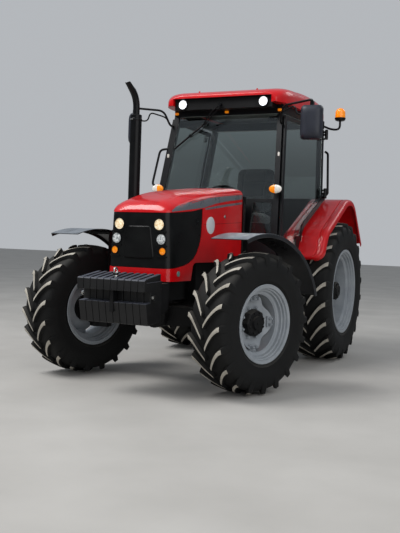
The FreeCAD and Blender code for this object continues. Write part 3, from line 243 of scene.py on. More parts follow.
def lens(name, colour, glow, fluting):
    """Ribbed lamp lens with patches of two colours."""
    material, tree, place = new_material(name)
    ribs = add(tree, "ShaderNodeTexWave", {"Vector": place, "Scale": fluting, "Distortion": 0.4},
               bands_direction="X")
    cloud = add(tree, "ShaderNodeTexNoise", {"Vector": place, "Scale": 60.0, "Detail": 3.0})
    patch = add(tree, "ShaderNodeMapRange", {0: cloud.outputs["Fac"], 1: 0.35, 2: 0.65})
    tone = mixed(tree, patch.outputs[0], *colour)
    shade(tree, Base_Color=tone, Emission_Color=tone, Emission_Strength=glow, Roughness=0.12, Coat_Weight=0.6,
          Normal=bump(tree, ribs.outputs["Fac"], 0.5, 0.0006))
    return material


cab_glass, tree, _ = new_material("green_tinted_tempered_glass")
shade(tree, Base_Color=linear("#f1f9f5"), Transmission_Weight=1.0, Roughness=0.0, IOR=1.45)
warm_lens = lens("lit_warm_headlamp_glass", ("#fff3d4", "#d9b98a"), 0.42, 90.0)
clear_lens = lens("fluted_clear_headlamp_glass", ("#f2f4f2", "#7f8588"), 0.10, 120.0)
amber_lens = lens("amber_indicator_plastic", ("#ff9a12", "#ef7d06"), 0.30, 140.0)
white_lens = lens("white_marker_plastic", ("#f1eee6", "#dcd8ce"), 0.10, 140.0)
work_lens = lens("lit_work_lamp_glass", ("#ffffff", "#eef2ff"), 1.25, 110.0)
print("glass and lenses ready")

# %% [markdown]
# Every piece is finished the same way: its mesh goes into the scene at the origin, edges sharper than a
# limit stay crisp and the rest shades smoothly, and it rides on a body. Nearly every form here is a row of
# rings with a skin over them, so one function makes that skin, and wheels, lamps, tubes and blocks only
# say where their rings lie.

# %% Mesh helpers


def new_mesh(name, bm, *materials):
    """The bmesh as a mesh with its materials; the bmesh is used up."""
    mesh = bpy.data.meshes.new(name)
    bm.to_mesh(mesh)
    bm.free()
    for material in materials:
        mesh.materials.append(material)
    return mesh


def frozen(thing):
    """An object's mesh with its modifiers applied."""
    return bpy.data.meshes.new_from_object(thing.evaluated_get(bpy.context.evaluated_depsgraph_get()))


def outward(bm):
    bmesh.ops.recalc_face_normals(bm, faces=bm.faces)


def adopt(name, mesh, body, replaces=(), sharp=35.0):
    """Put a finished mesh into the scene as one piece that rides on a body."""
    mesh.set_sharp_from_angle(angle=math.radians(sharp))
    thing = shown(name, mesh)
    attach(thing, body)
    if replaces:
        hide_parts(*replaces)
    print(name, len(mesh.polygons), "faces")
    return thing


def piece(name, bm, materials, body, replaces=(), sharp=35.0, as_is=False):
    """Put a bmesh into the scene as one piece, its faces turned outward unless it stays as it is."""
    if not as_is:
        outward(bm)
    return adopt(name, new_mesh(name, bm, *materials), body, replaces, sharp)


def skin(bm, rings, index=0, ends=True, closed=True, loop=False):
    """Faces from each ring of points to the next; a ring of one point is a tip."""
    rows = [[bm.verts.new(p) for p in ring] for ring in rings]
    faces = []
    for a, b in zip(rows, rows[1:] + (rows[:1] if loop else [])):
        count = max(len(a), len(b))
        for i in range(count if closed else count - 1):
            j = (i + 1) % count
            corners = (a[i % len(a)], a[j % len(a)], b[j % len(b)], b[i % len(b)])
            faces.append(bm.faces.new(list(dict.fromkeys(corners))))
    if ends:
        faces += [bm.faces.new(rows[0]), bm.faces.new(list(reversed(rows[-1])))]
    for face in faces:
        face.material_index = index
    return faces


def since(bm, start):
    """The verts made since there were that many."""
    bm.verts.ensure_lookup_table()
    return bm.verts[start:]


def around(steps, radius=1.0, start=0.0):
    """(cos, sin) pairs of a circle, times its radius."""
    angles = [tau * k / steps + start for k in range(steps)]
    return [(radius * math.cos(a), radius * math.sin(a)) for a in angles]


def lathe(bm, outline, steps):
    """Turn a closed (x, radius) outline about the X axis."""
    skin(bm, [[(x, r * c, r * s) for x, r in outline] for c, s in around(steps)], ends=False, loop=True)


def turned(bm, outline, place, facing, steps=32, index=0):
    """Turn an (along, radius) outline about an axis through a place, facing a direction."""
    aim = Matrix.Translation(place) @ Vector(facing).to_track_quat("X", "Z").to_matrix().to_4x4()
    skin(bm, [[aim @ Vector((along, c, s)) for c, s in around(steps if radius > 1e-6 else 1, radius)]
              for along, radius in outline], index, ends=False)


def block(bm, low, high):
    """A box from its lowest to its highest corner."""
    size, middle = Vector(high) - Vector(low), (Vector(high) + Vector(low)) / 2
    made = bmesh.ops.create_cube(bm, size=1.0)["verts"]
    for v in made:
        v.co = v.co * size + middle
    return made


def rod(bm, start, end, radius, steps=16, end_radius=None, index=0):
    """A round bar, or a cone, between two points."""
    start, end = Vector(start), Vector(end)
    turn = (end - start).to_track_quat("Z", "Y").to_matrix().to_4x4()
    made = bmesh.ops.create_cone(bm, cap_ends=True, segments=steps, radius1=radius,
                                 radius2=radius if end_radius is None else end_radius,
                                 depth=(end - start).length,
                                 matrix=Matrix.Translation((start + end) / 2) @ turn)["verts"]
    for face in {f for v in made for f in v.link_faces}:
        face.material_index = index
    return made


def slab(bm, outline, x0, x1):
    """Flat plate across the machine with a (y, z) outline."""
    skin(bm, [[(x, y, z) for y, z in outline] for x in (x0, x1)])


def rounded(points, cuts, steps=5):
    """A route with its inner corners replaced by curves that start a cut away."""
    route = [Vector(p) for p in points]
    out = [route[0]]
    for before, corner, after, cut in zip(route, route[1:], route[2:], cuts):
        a = corner + (before - corner).normalized() * cut
        b = corner + (after - corner).normalized() * cut
        out += pulled(a, corner, b, steps)
    return out + [route[-1]]


def pulled(a, corner, b, steps):
    """Points on the curve from a to b that a corner pulls towards itself."""
    shares = [k / steps for k in range(steps + 1)]
    return [a * (1 - t) ** 2 + corner * 2 * t * (1 - t) + b * t ** 2 for t in shares]


def pipe(bm, points, radius, bend, sides=14, index=0):
    """Round tube along a bent route, closed at both ends and carried along without twist."""
    route = [Vector(p) for p in points]
    cuts = [min(bend, (b - a).length / 2, (c - b).length / 2) for a, b, c in zip(route, route[1:], route[2:])]
    route = rounded(route, cuts, 6)
    ahead = (route[1] - route[0]).normalized()
    across = ahead.orthogonal().normalized()
    rings = []
    for before, place, after in zip(route[:1] + route, route, route[1:] + route[-1:]):
        along = (after - before).normalized()
        across = (ahead.rotation_difference(along) @ across).normalized()
        ahead = along
        up = along.cross(across)
        rings.append([place + across * c + up * s for c, s in around(sides, radius)])
    skin(bm, rings, index)


def soft_block(bm, layers, place, corner, along="Y", steps=6, index=0):
    """Rounded-rectangle rings through (along, half width, half height) layers, closed at both ends."""
    rings = []
    for at, half_w, half_h in layers:
        cut = min(corner, half_w * 0.95, half_h * 0.95)
        ring = []
        for turn, (sx, sz) in enumerate(((1, 1), (-1, 1), (-1, -1), (1, -1))):
            for i in range(steps + 1):
                a = math.pi / 2 * (turn + i / steps)
                x = sx * (half_w - cut) + cut * math.cos(a)
                z = sz * (half_h - cut) + cut * math.sin(a)
                ring.append(Vector(place) + Vector((x, at, z) if along == "Y" else (x, z, at)))
        rings.append(ring)
    skin(bm, rings, index)


def flipped(bm):
    """Add the mirror image across the machine's middle."""
    made = bmesh.ops.duplicate(bm, geom=bm.verts[:] + bm.edges[:] + bm.faces[:])["geom"]
    for v in (g for g in made if isinstance(g, bmesh.types.BMVert)):
        v.co.x = -v.co.x
    bmesh.ops.reverse_faces(bm, faces=[g for g in made if isinstance(g, bmesh.types.BMFace)])


def eased(rows, y, direct=True):
    """The rows' four values at y on a smooth curve, its slopes direct between neighbours or mean chords."""
    k = 0
    while k < len(rows) - 2 and y > rows[k + 1][0]:
        k += 1
    before, a, b, after = (rows[min(max(i, 0), len(rows) - 1)] for i in (k - 1, k, k + 1, k + 2))
    span = b[0] - a[0]
    t = (y - a[0]) / span

    def slope(low, here, high, i):
        if direct or low is here or here is high:
            return (high[i] - low[i]) / (high[0] - low[0]) * span
        chords = (here[i] - low[i]) / (here[0] - low[0]), (high[i] - here[i]) / (high[0] - here[0])
        return span * sum(chords) / 2

    return [(2 * t ** 3 - 3 * t ** 2 + 1) * a[i] + (t ** 3 - 2 * t ** 2 + t) * slope(before, a, b, i)
            + (3 * t ** 2 - 2 * t ** 3) * b[i] + (t ** 3 - t ** 2) * slope(a, b, after, i)
            for i in range(1, 5)]


print("mesh helpers ready")

# %% [markdown]
# What repeats many times is work for Geometry Nodes: one copy goes in, the tree sets the rest at even turns
# about an axis, and the result is made real and given its material. The bars of a tyre repeat about the
# axle. The exhaust shield's holes repeat about the shield and again up it, every other ring half a step on.

# %% Trees that repeat a piece


def new_tree(name, **kinds):
    """An empty tree with a geometry input and more inputs, as (tree, input ids, inputs)."""
    tree = bpy.data.node_groups.new(name, "GeometryNodeTree")
    ids = {}
    for label, kind in {"Geometry": "Geometry", **kinds, "Base_material": "Material"}.items():
        label = label.replace("_", " ")
        socket = tree.interface.new_socket(label, in_out="INPUT", socket_type=f"NodeSocket{kind}")
        ids[label] = socket.identifier
    tree.interface.new_socket("Geometry", in_out="OUTPUT", socket_type="NodeSocketGeometry")
    return tree, ids, add(tree, "NodeGroupInput").outputs


def copied(tree, given, points, axis, share):
    """Real copies of the input on the points, turned by a share of a full turn, with their material."""
    turn = add(tree, "ShaderNodeCombineXYZ", {axis: sums(tree, "MULTIPLY", share, tau)})
    copies = add(tree, "GeometryNodeInstanceOnPoints", {"Points": points, "Instance": given["Geometry"],
                                                        "Rotation": turn.outputs[0]})
    real = add(tree, "GeometryNodeRealizeInstances", {"Geometry": copies.outputs[0]})
    return add(tree, "GeometryNodeSetMaterial", {"Geometry": real.outputs[0],
                                                 "Material": given["Base material"]}).outputs[0]


def ring_tree():
    """Copies of the input about the X axis, with a second material on the worn faces."""
    tree, ids, given = new_tree("copies_about_the_axle", Copies="Int", Face_material="Material")
    points = add(tree, "GeometryNodePoints", {"Count": given["Copies"]}).outputs[0]
    number = add(tree, "GeometryNodeInputIndex").outputs[0]
    based = copied(tree, given, points, "X", sums(tree, "DIVIDE", number, given["Copies"]))
    worn = add(tree, "GeometryNodeInputNamedAttribute", {"Name": "worn_face"}, data_type="BOOLEAN").outputs[0]
    faced = add(tree, "GeometryNodeSetMaterial", {"Geometry": based, "Material": given["Face material"],
                                                  "Selection": worn})
    add(tree, "NodeGroupOutput", {"Geometry": faced.outputs[0]})
    return tree, ids


def shield_tree():
    """Copies of the input in rings about Z, each ring above the last, every other one half a step on."""
    tree, ids, given = new_tree("holes_up_the_shield", Around="Int", Rings="Int", Rise="Float")
    total = sums(tree, "MULTIPLY", given["Around"], given["Rings"])
    points = add(tree, "GeometryNodePoints", {"Count": total}).outputs[0]
    turns = sums(tree, "DIVIDE", add(tree, "GeometryNodeInputIndex").outputs[0], given["Around"])
    ring = sums(tree, "FLOOR", turns)
    shift = sums(tree, "DIVIDE", sums(tree, "MULTIPLY", ring, 0.5), given["Around"])
    lift = add(tree, "ShaderNodeCombineXYZ", {"Z": sums(tree, "MULTIPLY", ring, given["Rise"])}).outputs[0]
    placed = add(tree, "GeometryNodeSetPosition", {"Geometry": points, "Position": lift}).outputs[0]
    rings = copied(tree, given, placed, "Z", sums(tree, "ADD", turns, shift))
    add(tree, "NodeGroupOutput", {"Geometry": rings})
    return tree, ids


def grown(mesh, tree, ids, values):
    """A mesh run through a Geometry Nodes tree, as a new plain mesh."""
    carrier = shown("carrier", mesh)
    modifier = carrier.modifiers.new("nodes", "NODES")
    modifier.node_group = tree
    for label, value in values.items():
        modifier[ids[label]] = value
    result = frozen(carrier)
    bpy.data.objects.remove(carrier)
    return result


copies_about_axle, ring_inputs = ring_tree()
holes_up_shield, shield_inputs = shield_tree()
print("tree inputs", list(ring_inputs), list(shield_inputs))

# %% [markdown]
# A drive tyre is a smooth carcass with two rows of bars, half a pitch apart. Each bar leads with its inner
# end, so the tread clears itself of mud as it rolls forward. New rubber is nearly black, and what has been
# driven on is pale with dust, so the top of each bar has its own material, picked out by a face attribute.

# %% Wheel sizes and places
steer_turn = math.radians(-17.6)
kingpin_x, kingpin_offset = 0.700, 0.166
front_axle_y, rear_axle_y, rear_wheel_x = -1.2, 1.110, 0.817
front_wheel = {"tip": 0.595, "base": 0.560, "half": 0.182, "tread": 0.165, "bead": 0.305, "flange": 0.330,
               "seat": 0.159, "dish": 0.010, "hole": 0.100, "hub_at": 0.034, "hub_out": 0.040,
               "bars": 20, "lean": 0.30, "bar": 0.036, "studs": 8, "clips": 4}
rear_wheel = {"tip": 0.755, "base": 0.716, "half": 0.222, "tread": 0.200, "bead": 0.432, "flange": 0.457,
              "seat": 0.190, "dish": -0.040, "hole": 0.110, "hub_at": -0.040, "hub_out": 0.160,
              "bars": 22, "lean": 0.29, "bar": 0.041, "studs": 10, "clips": 8}
hub_x = kingpin_x + kingpin_offset * math.cos(steer_turn)
hub_y = kingpin_offset * math.sin(steer_turn)
steered = Matrix.Rotation(steer_turn, 4, "Z")
flip = Matrix.Diagonal((-1, 1, 1, 1))
wheels = {
    "front_left": (front_wheel, Matrix.Translation((hub_x, front_axle_y + hub_y, 0.595)) @ steered),
    "front_right": (front_wheel, Matrix.Translation((-hub_x, front_axle_y - hub_y, 0.595)) @ steered @ flip),
    "rear_left": (rear_wheel, Matrix.Translation((rear_wheel_x, rear_axle_y, 0.755))),
    "rear_right": (rear_wheel, Matrix.Translation((-rear_wheel_x, rear_axle_y, 0.755)) @ flip),
}
print("front hub centre", round(hub_x, 4), round(hub_y + front_axle_y, 4))

# %% Tyres


def bar_pair(w):
    """One left and one right bar at the top of the wheel, half a pitch apart, sunk into the carcass."""
    bm = bmesh.new()
    worn = bm.faces.layers.bool.new("worn_face")
    middle_gap, draft, softened = 0.012, 0.013, 0.002
    shoulder = w["tread"] + 0.004
    # Places across the tread, then the two where the bar's end runs down the wall
    places = [(middle_gap + (shoulder - middle_gap) * k / 7, 0.0) for k in range(8)]
    places += [(shoulder + 0.006, 0.030), (w["half"] - 0.001, 0.085)]
    for side in (1, -1):
        turn = math.pi / 2 + (math.pi / w["bars"] if side < 0 else 0)
        rings = []
        for x, fall in places:
            t = min((x - middle_gap) / (shoulder - middle_gap), 1.0)
            sweep = turn - w["lean"] * (1 - (1 - t) ** 1.5)
            top = w["tip"] - 0.016 * (x / w["tread"]) ** 2 - fall
            low = min(w["base"] - 0.014 - fall * 0.9, top - 0.012)
            half = (w["bar"] / 2) * (0.90 + 0.30 * t)
            flank = [(low, half + draft), (top - 0.003, half + softened), (top, half - softened)]
            section = [(r, sweep - reach / w["tip"]) for r, reach in flank]
            section += [(r, sweep + reach / w["tip"]) for r, reach in reversed(flank)]
            rings.append([(side * x, r * math.cos(a), r * math.sin(a)) for r, a in section])
        faces = skin(bm, rings)
        for number in range(7):
            faces[number * 6 + 2][worn] = True
    outward(bm)
    return new_mesh("bar_pair", bm, tyre_rubber)


def carcass_outline(w):
    """Closed (x, radius) outline of the tyre without its bars, bead to bead."""
    seat, half, tread, flange, base = w["seat"], w["half"], w["tread"], w["flange"], w["base"]
    wall = base - flange
    right = [(seat - 0.004, w["bead"] + 0.001), (seat - 0.001, flange - 0.001),
             (seat + 0.006, flange + 0.006), (seat + 0.012, flange + 0.024),
             (seat + 0.016, flange + 0.026), (seat + 0.016, flange + 0.034),
             (half - 0.008, flange + 0.24 * wall), (half - 0.001, flange + 0.42 * wall),
             (half - 0.001, flange + 0.60 * wall), (half - 0.010, flange + 0.80 * wall),
             (tread, base - 0.022), (tread - 0.030, base - 0.007), (tread * 0.45, base)]
    return right + [(-x, r) for x, r in reversed(right)]


for name, (w, place) in wheels.items():
    bars = grown(bar_pair(w), copies_about_axle, ring_inputs,
                 {"Copies": w["bars"], "Base material": tyre_rubber, "Face material": worn_rubber})
    bm = bmesh.new()
    bm.from_mesh(bars)
    lathe(bm, carcass_outline(w), 96)
    bm.transform(place)
    piece(f"tyre_{name}_treaded", bm, [tyre_rubber, worn_rubber], f"wheel_{name}", [f"tyre_{name}"],
          50.0)

# %% [markdown]
# A farm wheel is two parts: a rolled rim with flanges that hold the tyre's beads, and a pressed disc bolted
# to clips welded inside the rim. The disc's edge is waved, so it reaches the rim only at the clips. Rim and
# disc are satin silver-grey enamel. The hub is the axle's own black casting, eight-sided on the front where
# it holds the final drive's gears.

# %% Rims, discs and hubs
clip_depth, dish_rise, disc_wall = 0.080, 0.045, 0.012


def rim_outline(w):
    """Closed (x, radius) outline of the rolled rim."""
    seat, bead, flange = w["seat"], w["bead"], w["flange"]
    well = bead - 0.055
    outer = [(seat, bead), (seat, flange - 0.004), (seat + 0.004, flange), (seat + 0.010, flange),
             (seat + 0.013, flange - 0.006), (seat + 0.009, flange - 0.012), (seat + 0.007, bead - 0.004),
             (seat - 0.010, bead - 0.008), (seat - 0.014, bead - 0.018), (seat - 0.034, bead - 0.022),
             (seat - 0.038, bead - 0.032), (seat - 0.062, bead - 0.036), (seat - 0.078, well - 0.008)]
    inner = [(seat - 0.070, well), (seat - 0.054, bead - 0.014), (seat - 0.036, bead - 0.010),
             (seat - 0.024, bead)]
    return outer + [(-x, r) for x, r in outer[::-1] + inner[::-1]] + inner


def disc(bm, w):
    """Waved disc from the hub's hole to the clips, with its dish."""
    reach, low, steps, rows = w["bead"] - clip_depth, w["hole"] - 0.004, w["clips"] * 16, 6
    depth = (0.16 if w["clips"] < 6 else 0.07) * reach
    rings = []
    for k in range(steps):
        a = tau * k / steps
        high = reach - depth * (0.5 - 0.5 * math.cos(w["clips"] * a)) ** 1.5
        front = []
        for i in range(rows):
            r = low + (high - low) * i / (rows - 1)
            rise = max(0.0, (r - w["hole"] - 0.05) / (reach - w["hole"] - 0.05)) ** 1.5
            front.append((w["dish"] + dish_rise * rise, r))
        ring = front + [(x - disc_wall, r) for x, r in reversed(front)]
        rings.append([(x, r * math.cos(a), r * math.sin(a)) for x, r in ring])
    skin(bm, rings, ends=False, loop=True)


def clips_and_bolts(bm, w):
    """The welded clips, each with a pair of bolts through the disc."""
    x, bolt_z, clip_z = w["dish"] + dish_rise, w["bead"] - clip_depth - 0.022, w["bead"] - 0.040
    for k in range(w["clips"]):
        made = block(bm, (x - 0.024, -0.045, bolt_z - 0.023), (x - 0.012, 0.045, clip_z))
        made += block(bm, (x - 0.036, -0.045, w["bead"] - 0.066), (x + 0.004, 0.045, clip_z))
        for y in (-0.024, 0.024):
            made += rod(bm, (x - 0.014, y, bolt_z), (x + 0.014, y, bolt_z), 0.013, 6)
            made += rod(bm, (x + 0.014, y, bolt_z), (x + 0.022, y, bolt_z), 0.008, 10)
        bmesh.ops.transform(bm, matrix=Matrix.Rotation(tau * k / w["clips"], 4, "X"), verts=made)


def studs(bm, w):
    """Wheel nuts on their circle, each on a washer."""
    x = w["dish"]
    for y, z in around(w["studs"], w["hole"] + 0.030, math.pi / w["studs"]):
        for x0, x1, radius, steps in ((0.0, 0.004, 0.019, 16), (0.004, 0.020, 0.015, 6),
                                      (0.020, 0.030, 0.009, 10)):
            rod(bm, (x + x0, y, z), (x + x1, y, z), radius, steps)


def hub_casting(bm, w, front):
    """Final-drive housing out through the hole, ring of cover bolts and a plug."""
    face, at, out, hole = w["dish"] - 0.012, w["hub_at"], w["hub_at"] + w["hub_out"], w["hole"]
    sides, big = (8, hole * 1.15) if front else (32, hole * 0.90)
    for x0, x1, radius, end_radius, steps in (
            (at - 0.060, face + 0.002, hole + 0.022, hole + 0.022, 32), (face, out - 0.010, big, big, sides),
            (out - 0.010, out, big, big * 0.90, sides), (out, out + 0.018, hole * 0.60, hole * 0.54, 32),
            (out + 0.018, out + 0.022, 0.016, 0.016, 6)):
        rod(bm, (x0, 0, 0), (x1, 0, 0), radius, steps, end_radius, 1)
    for y, z in around(8, big * 0.76, math.pi / 8):
        rod(bm, (out - 0.002, y, z), (out + 0.008, y, z), 0.010, 6, index=1)


for name, (w, place) in wheels.items():
    bm = bmesh.new()
    lathe(bm, rim_outline(w), 96)
    disc(bm, w)
    clips_and_bolts(bm, w)
    studs(bm, w)
    hub_casting(bm, w, name.startswith("front"))
    bm.transform(place)
    piece(f"rim_{name}_bolted", bm, [silver_enamel, black_iron], f"wheel_{name}", [f"rim_{name}"],
          30.0)

# %% [markdown]
# The bonnet is a one-piece tilting hood. Its cross-section is a straight side, a round shoulder and a
# slightly crowned top, and six sections along its length carry the shape, so the loft only needs a smooth
# curve through their widths and heights. At the nose the plan turns on a quarter circle. The shell is cut
# with solids: the space inside, the step along its lower edge and the window for the black nose panel.

# %% Bonnet surface
# One row a section: y, half width at the bottom, half width at the shoulder, shoulder z, crown z
bonnet_rows = [
    (-1.662, 0.285, 0.258, 1.492, 1.510), (-1.600, 0.306, 0.280, 1.530, 1.568),
    (-1.438, 0.320, 0.300, 1.573, 1.618), (-1.213, 0.335, 0.320, 1.629, 1.668),
    (-0.959, 0.345, 0.335, 1.672, 1.706), (-0.300, 0.360, 0.356, 1.746, 1.775),
]
bonnet_floor = 0.917
nose_y = bonnet_rows[0][0]
nose_round = 0.040
crown_inset = 0.095


def bonnet_profile(y, inset=0.0, floor=bonnet_floor):
    """Half cross-section from the bottom edge up to the middle of the top, as (x, z) points."""
    low, shoulder, side_z, crown_z = eased(bonnet_rows, max(y, nose_y))
    back = min(max(nose_round - (y - nose_y), 0.0), nose_round)
    tuck = nose_round - math.sqrt(nose_round ** 2 - back ** 2)
    low, shoulder = low - tuck - inset, shoulder - tuck - inset
    side_z, crown_z = side_z - tuck * 0.3 - inset, crown_z - tuck * 0.3 - inset
    corners = [(low, floor), (shoulder, side_z), (shoulder - crown_inset, crown_z), (0.0, crown_z + 0.004)]
    return rounded(corners, (0.040, 0.042))


def bonnet_x(y, z):
    """Half width of the bonnet's skin at a height."""
    outline = bonnet_profile(y)
    for a, b in zip(outline, outline[1:]):
        if a.y <= z <= b.y:
            return a.x + (b.x - a.x) * (z - a.y) / max(b.y - a.y, 1e-9)
    return outline[0].x


def bonnet_form(inset, front, rear, floor=bonnet_floor):
    """Closed loft of the bonnet's outline, moved in by the inset."""
    stations = [front + nose_round * (1 - math.cos(math.pi / 2 * i / 6)) for i in range(7)]
    while stations[-1] < rear - 0.03:
        stations.append(min(stations[-1] + 0.045, rear))
    if stations[-1] < rear:
        stations.append(rear)
    rings = []
    for y in stations:
        half = bonnet_profile(y - (front - nose_y), inset, floor)
        rings.append([(-p.x, y, p.y) for p in half] + [(p.x, y, p.y) for p in reversed(half[:-1])])
    bm = bmesh.new()
    skin(bm, rings)
    outward(bm)
    return bm


def side_prism(outline, half=0.45):
    """Block across the machine whose side view is the (y, z) outline."""
    bm = bmesh.new()
    slab(bm, outline, -half, half)
    outward(bm)
    return bm


def carved(bm, cuts):
    """The bmesh after boolean cuts, given as (operation, bmesh); all of them are used up."""
    forms = [bm] + [other for _, other in cuts]
    body, *tools = [shown("carving", new_mesh("carving", form)) for form in forms]
    for (operation, _), tool in zip(cuts, tools):
        cut = body.modifiers.new("cut", "BOOLEAN")
        cut.operation = operation
        cut.solver = "EXACT"
        cut.object = tool
    result = bmesh.new()
    result.from_mesh(frozen(body))
    for helper in [body] + tools:
        bpy.data.objects.remove(helper)
    return result


window_edge = [(-1.70, 1.480), (-1.480, 1.496), (-1.290, 1.514), (-1.122, 1.544), (-1.128, 1.420),
               (-1.142, 1.304), (-1.160, 1.246), (-1.184, 1.198), (-1.222, 1.146), (-1.268, 1.106),
               (-1.340, 1.070), (-1.430, 1.046), (-1.560, 1.028), (-1.70, 1.018)]


def window(grow=0.0):
    """The nose panel's outline from the side, a little smaller for the panel itself."""
    middle = Vector((-1.45, 1.27))
    points = []
    for y, z in window_edge:
        away = (Vector((y, z)) - middle).normalized() * grow
        points.append((y + (away.x if y > -1.69 else 0.0), z + away.y))
    return points


skirt = [(-1.350, 0.80), (-1.285, 1.040), (-1.262, 1.062), (-1.230, 1.070), (-0.20, 1.070), (-0.20, 0.80)]
shell = carved(bonnet_form(0.0, nose_y, -0.300), [
    ("DIFFERENCE", bonnet_form(0.007, nose_y + 0.007, -0.250, bonnet_floor - 0.03)),
    ("DIFFERENCE", side_prism(skirt)), ("DIFFERENCE", side_prism(window()))])
piece("bonnet_hood", shell, [red_enamel], "bonnet", ["bonnet"], 32.0, as_is=True)

# %% Nose panel
panel_y = nose_y + 0.003
panel = carved(bonnet_form(0.003, panel_y, -0.9), [
    ("DIFFERENCE", bonnet_form(0.010, panel_y + 0.007, -0.85, bonnet_floor - 0.03)),
    ("INTERSECT", side_prism(window(-0.003)))])


def front_slab(bm, outline, front, back, edge):
    """Raised plate on the nose whose front view is the (x, z) outline, with its front edge sloped."""
    outline = [Vector(p) for p in outline]
    middle = sum(outline, Vector((0, 0))) / len(outline)
    face = [p + (middle - p).normalized() * edge for p in outline]
    skin(bm, [[(p.x, back, p.y) for p in outline], [(p.x, front, p.y) for p in face]])


raised = rounded([(0.0, 1.373), (0.112, 1.373), (0.140, 1.190), (0.150, 1.100), (0.0, 1.092)],
                 (0.025, 0.020, 0.020), 4)
ring = [(p.x, p.y) for p in raised] + [(-p.x, p.y) for p in reversed(raised[1:-1])]
front_slab(panel, ring, panel_y - 0.008, panel_y + 0.004, 0.011)
field_z = 1.235
front_slab(panel, [(x * 0.90, field_z + (z - field_z) * 0.93) for x, z in ring], panel_y - 0.0105, panel_y,
           0.004)
rib = 0.006
for z, x0, x1 in ((1.325, 0.150, 0.262), (1.208, 0.166, 0.270), (1.118, 0.180, 0.272)):
    for a, b in ((-x1, -x0), (x0, x1)):
        front_slab(panel, [(a, z - rib), (b, z - rib), (b, z + rib), (a, z + rib)], panel_y - 0.008,
                   panel_y + 0.004, 0.003)
piece("nose_panel", panel, [nose_plastic], "bonnet", ["grille"], 32.0)

# %% [markdown]
# The stripes are vinyl film, so they are sheets a fraction of a millimetre proud of the side, and each one
# follows the skin between two lines. The lines are short lists of points along the bonnet in y and z.

# %% Stripes, seam, plate and lock


def line_height(line, y):
    for (y0, z0), (y1, z1) in zip(line, line[1:]):
        if y <= y1:
            break
    return z0 + (z1 - z0) * (y - y0) / (y1 - y0)


def side_film(bm, low_line, high_line, proud, rows=4, steps=36):
    """Sheets on both sides of the bonnet between two lines."""
    start = max(low_line[0][0], high_line[0][0])
    end = min(low_line[-1][0], high_line[-1][0])
    for side in (-1, 1):
        grid = []
        for k in range(steps + 1):
            y = start + (end - start) * k / steps
            z0, z1 = line_height(low_line, y), line_height(high_line, y)
            zs = [z0 + (z1 - z0) * i / rows for i in range(rows + 1)]
            grid.append([(side * (bonnet_x(y, z) + proud), y, z) for z in zs])
        skin(bm, grid[::-side], ends=False, closed=False)


wide_top = [(-1.610, 1.503), (-1.527, 1.546), (-1.351, 1.586), (-1.083, 1.634), (-0.664, 1.682),
            (-0.306, 1.716)]
wide_low = [(-1.610, 1.492), (-1.401, 1.517), (-1.098, 1.552), (-0.879, 1.599), (-0.660, 1.631),
            (-0.306, 1.671)]
thin_top = [(-1.079, 1.548), (-0.878, 1.577), (-0.658, 1.606), (-0.306, 1.644)]
thin_low = [(-1.078, 1.534), (-0.876, 1.557), (-0.657, 1.584), (-0.306, 1.624)]
seam_top = [(-1.105, 1.4035), (-0.912, 1.4145), (-0.648, 1.4305), (-0.304, 1.4485)]

bm = bmesh.new()
side_film(bm, wide_low, wide_top, 0.0007)
side_film(bm, thin_low, thin_top, 0.0007)
piece("bonnet_stripe_film", bm, [stripe_film], "bonnet", as_is=True)
bm = bmesh.new()
side_film(bm, [(y, z - 0.003) for y, z in seam_top], seam_top, 0.0005, 1)
piece("bonnet_side_seam", bm, [black_seam_and_hole_shade], "bonnet", as_is=True)


def side_buttons(name, material, slot, *buttons):
    """Oval plates on the bonnet's left side: y, z, two radii, how far they stand proud, and their dome."""
    bm = bmesh.new()
    for y, z, radius_y, radius_z, proud, dome in buttons:
        x = bonnet_x(y, z)
        skin(bm, [[(x + out, y + radius_y * c, z + radius_z * s)
                   for c, s in around(32 if share else 1, share)]
                  for share, out in ((1.0, -0.004), (1.0, proud * 0.6), (0.94, proud), (0.0, proud + dome))],
             ends=False)
    piece(name, bm, [material], "bonnet")


side_buttons("blank_oval_plate", white_plate, "dark_plastic", (-0.972, 1.400, 0.083, 0.077, 0.0040, 0.0))
side_buttons("bonnet_lock", plated_steel, "bare_steel", (-0.684, 1.489, 0.017, 0.017, 0.004, 0.0),
             (-0.684, 1.489, 0.009, 0.009, 0.007, 0.0))
side_buttons("side_round_reflector", grey_reflector, "dark_plastic",
             (-1.525, 0.979, 0.023, 0.023, 0.006, 0.003))

# %% [markdown]
# Every lamp is a turned shape: a dark bezel and a slightly domed lens set into it. One maker turns that set
# about any direction, and small tables hold the lamps' places on the nose and on the cab.

# %% Lamps on the nose
# One row a lamp: x, z, radius and the number of its lens material
lamp_rows = [(0.190, 1.384, 0.050, 1), (0.213, 1.263, 0.047, 2), (0.228, 1.164, 0.033, 3)]


def lamp(bm, place, radius, deep, lens_index, dome=0.10):
    """Forward-facing bezel ring with a rolled lip, and a domed lens set into it."""
    ahead = (0, -1, 0)
    lip = radius * 0.10
    turned(bm, [(-deep, radius), (0.001, radius), (0.004, radius - lip * 0.3), (0.004, radius - lip * 0.8),
                (0.000, radius - lip), (-0.004, radius - lip * 1.05)], place, ahead)
    inner = radius - lip * 1.02
    face = [(-0.003 + dome * radius * (1 - (i / 6) ** 2), inner * i / 6) for i in range(6, -1, -1)]
    turned(bm, [(-0.006, inner)] + face, place, ahead, index=lens_index)


bm = bmesh.new()
for side in (-1, 1):
    for x, z, radius, index in lamp_rows:
        lamp(bm, Vector((side * x, nose_y - 0.001, z)), radius, 0.008, index)
piece("nose_lamps", bm, [black_powder_coat, warm_lens, clear_lens, amber_lens], "bonnet", ["headlamps"],
      30.0)

# %% [markdown]
# The cab's posts lean, so its side and front are planes given by one foot point and two slopes. What is
# fixed to the cab takes its place from those planes. A mirror's head is a moulded shell with the glass set
# into its rear, on a bent tube and a thinner brace.

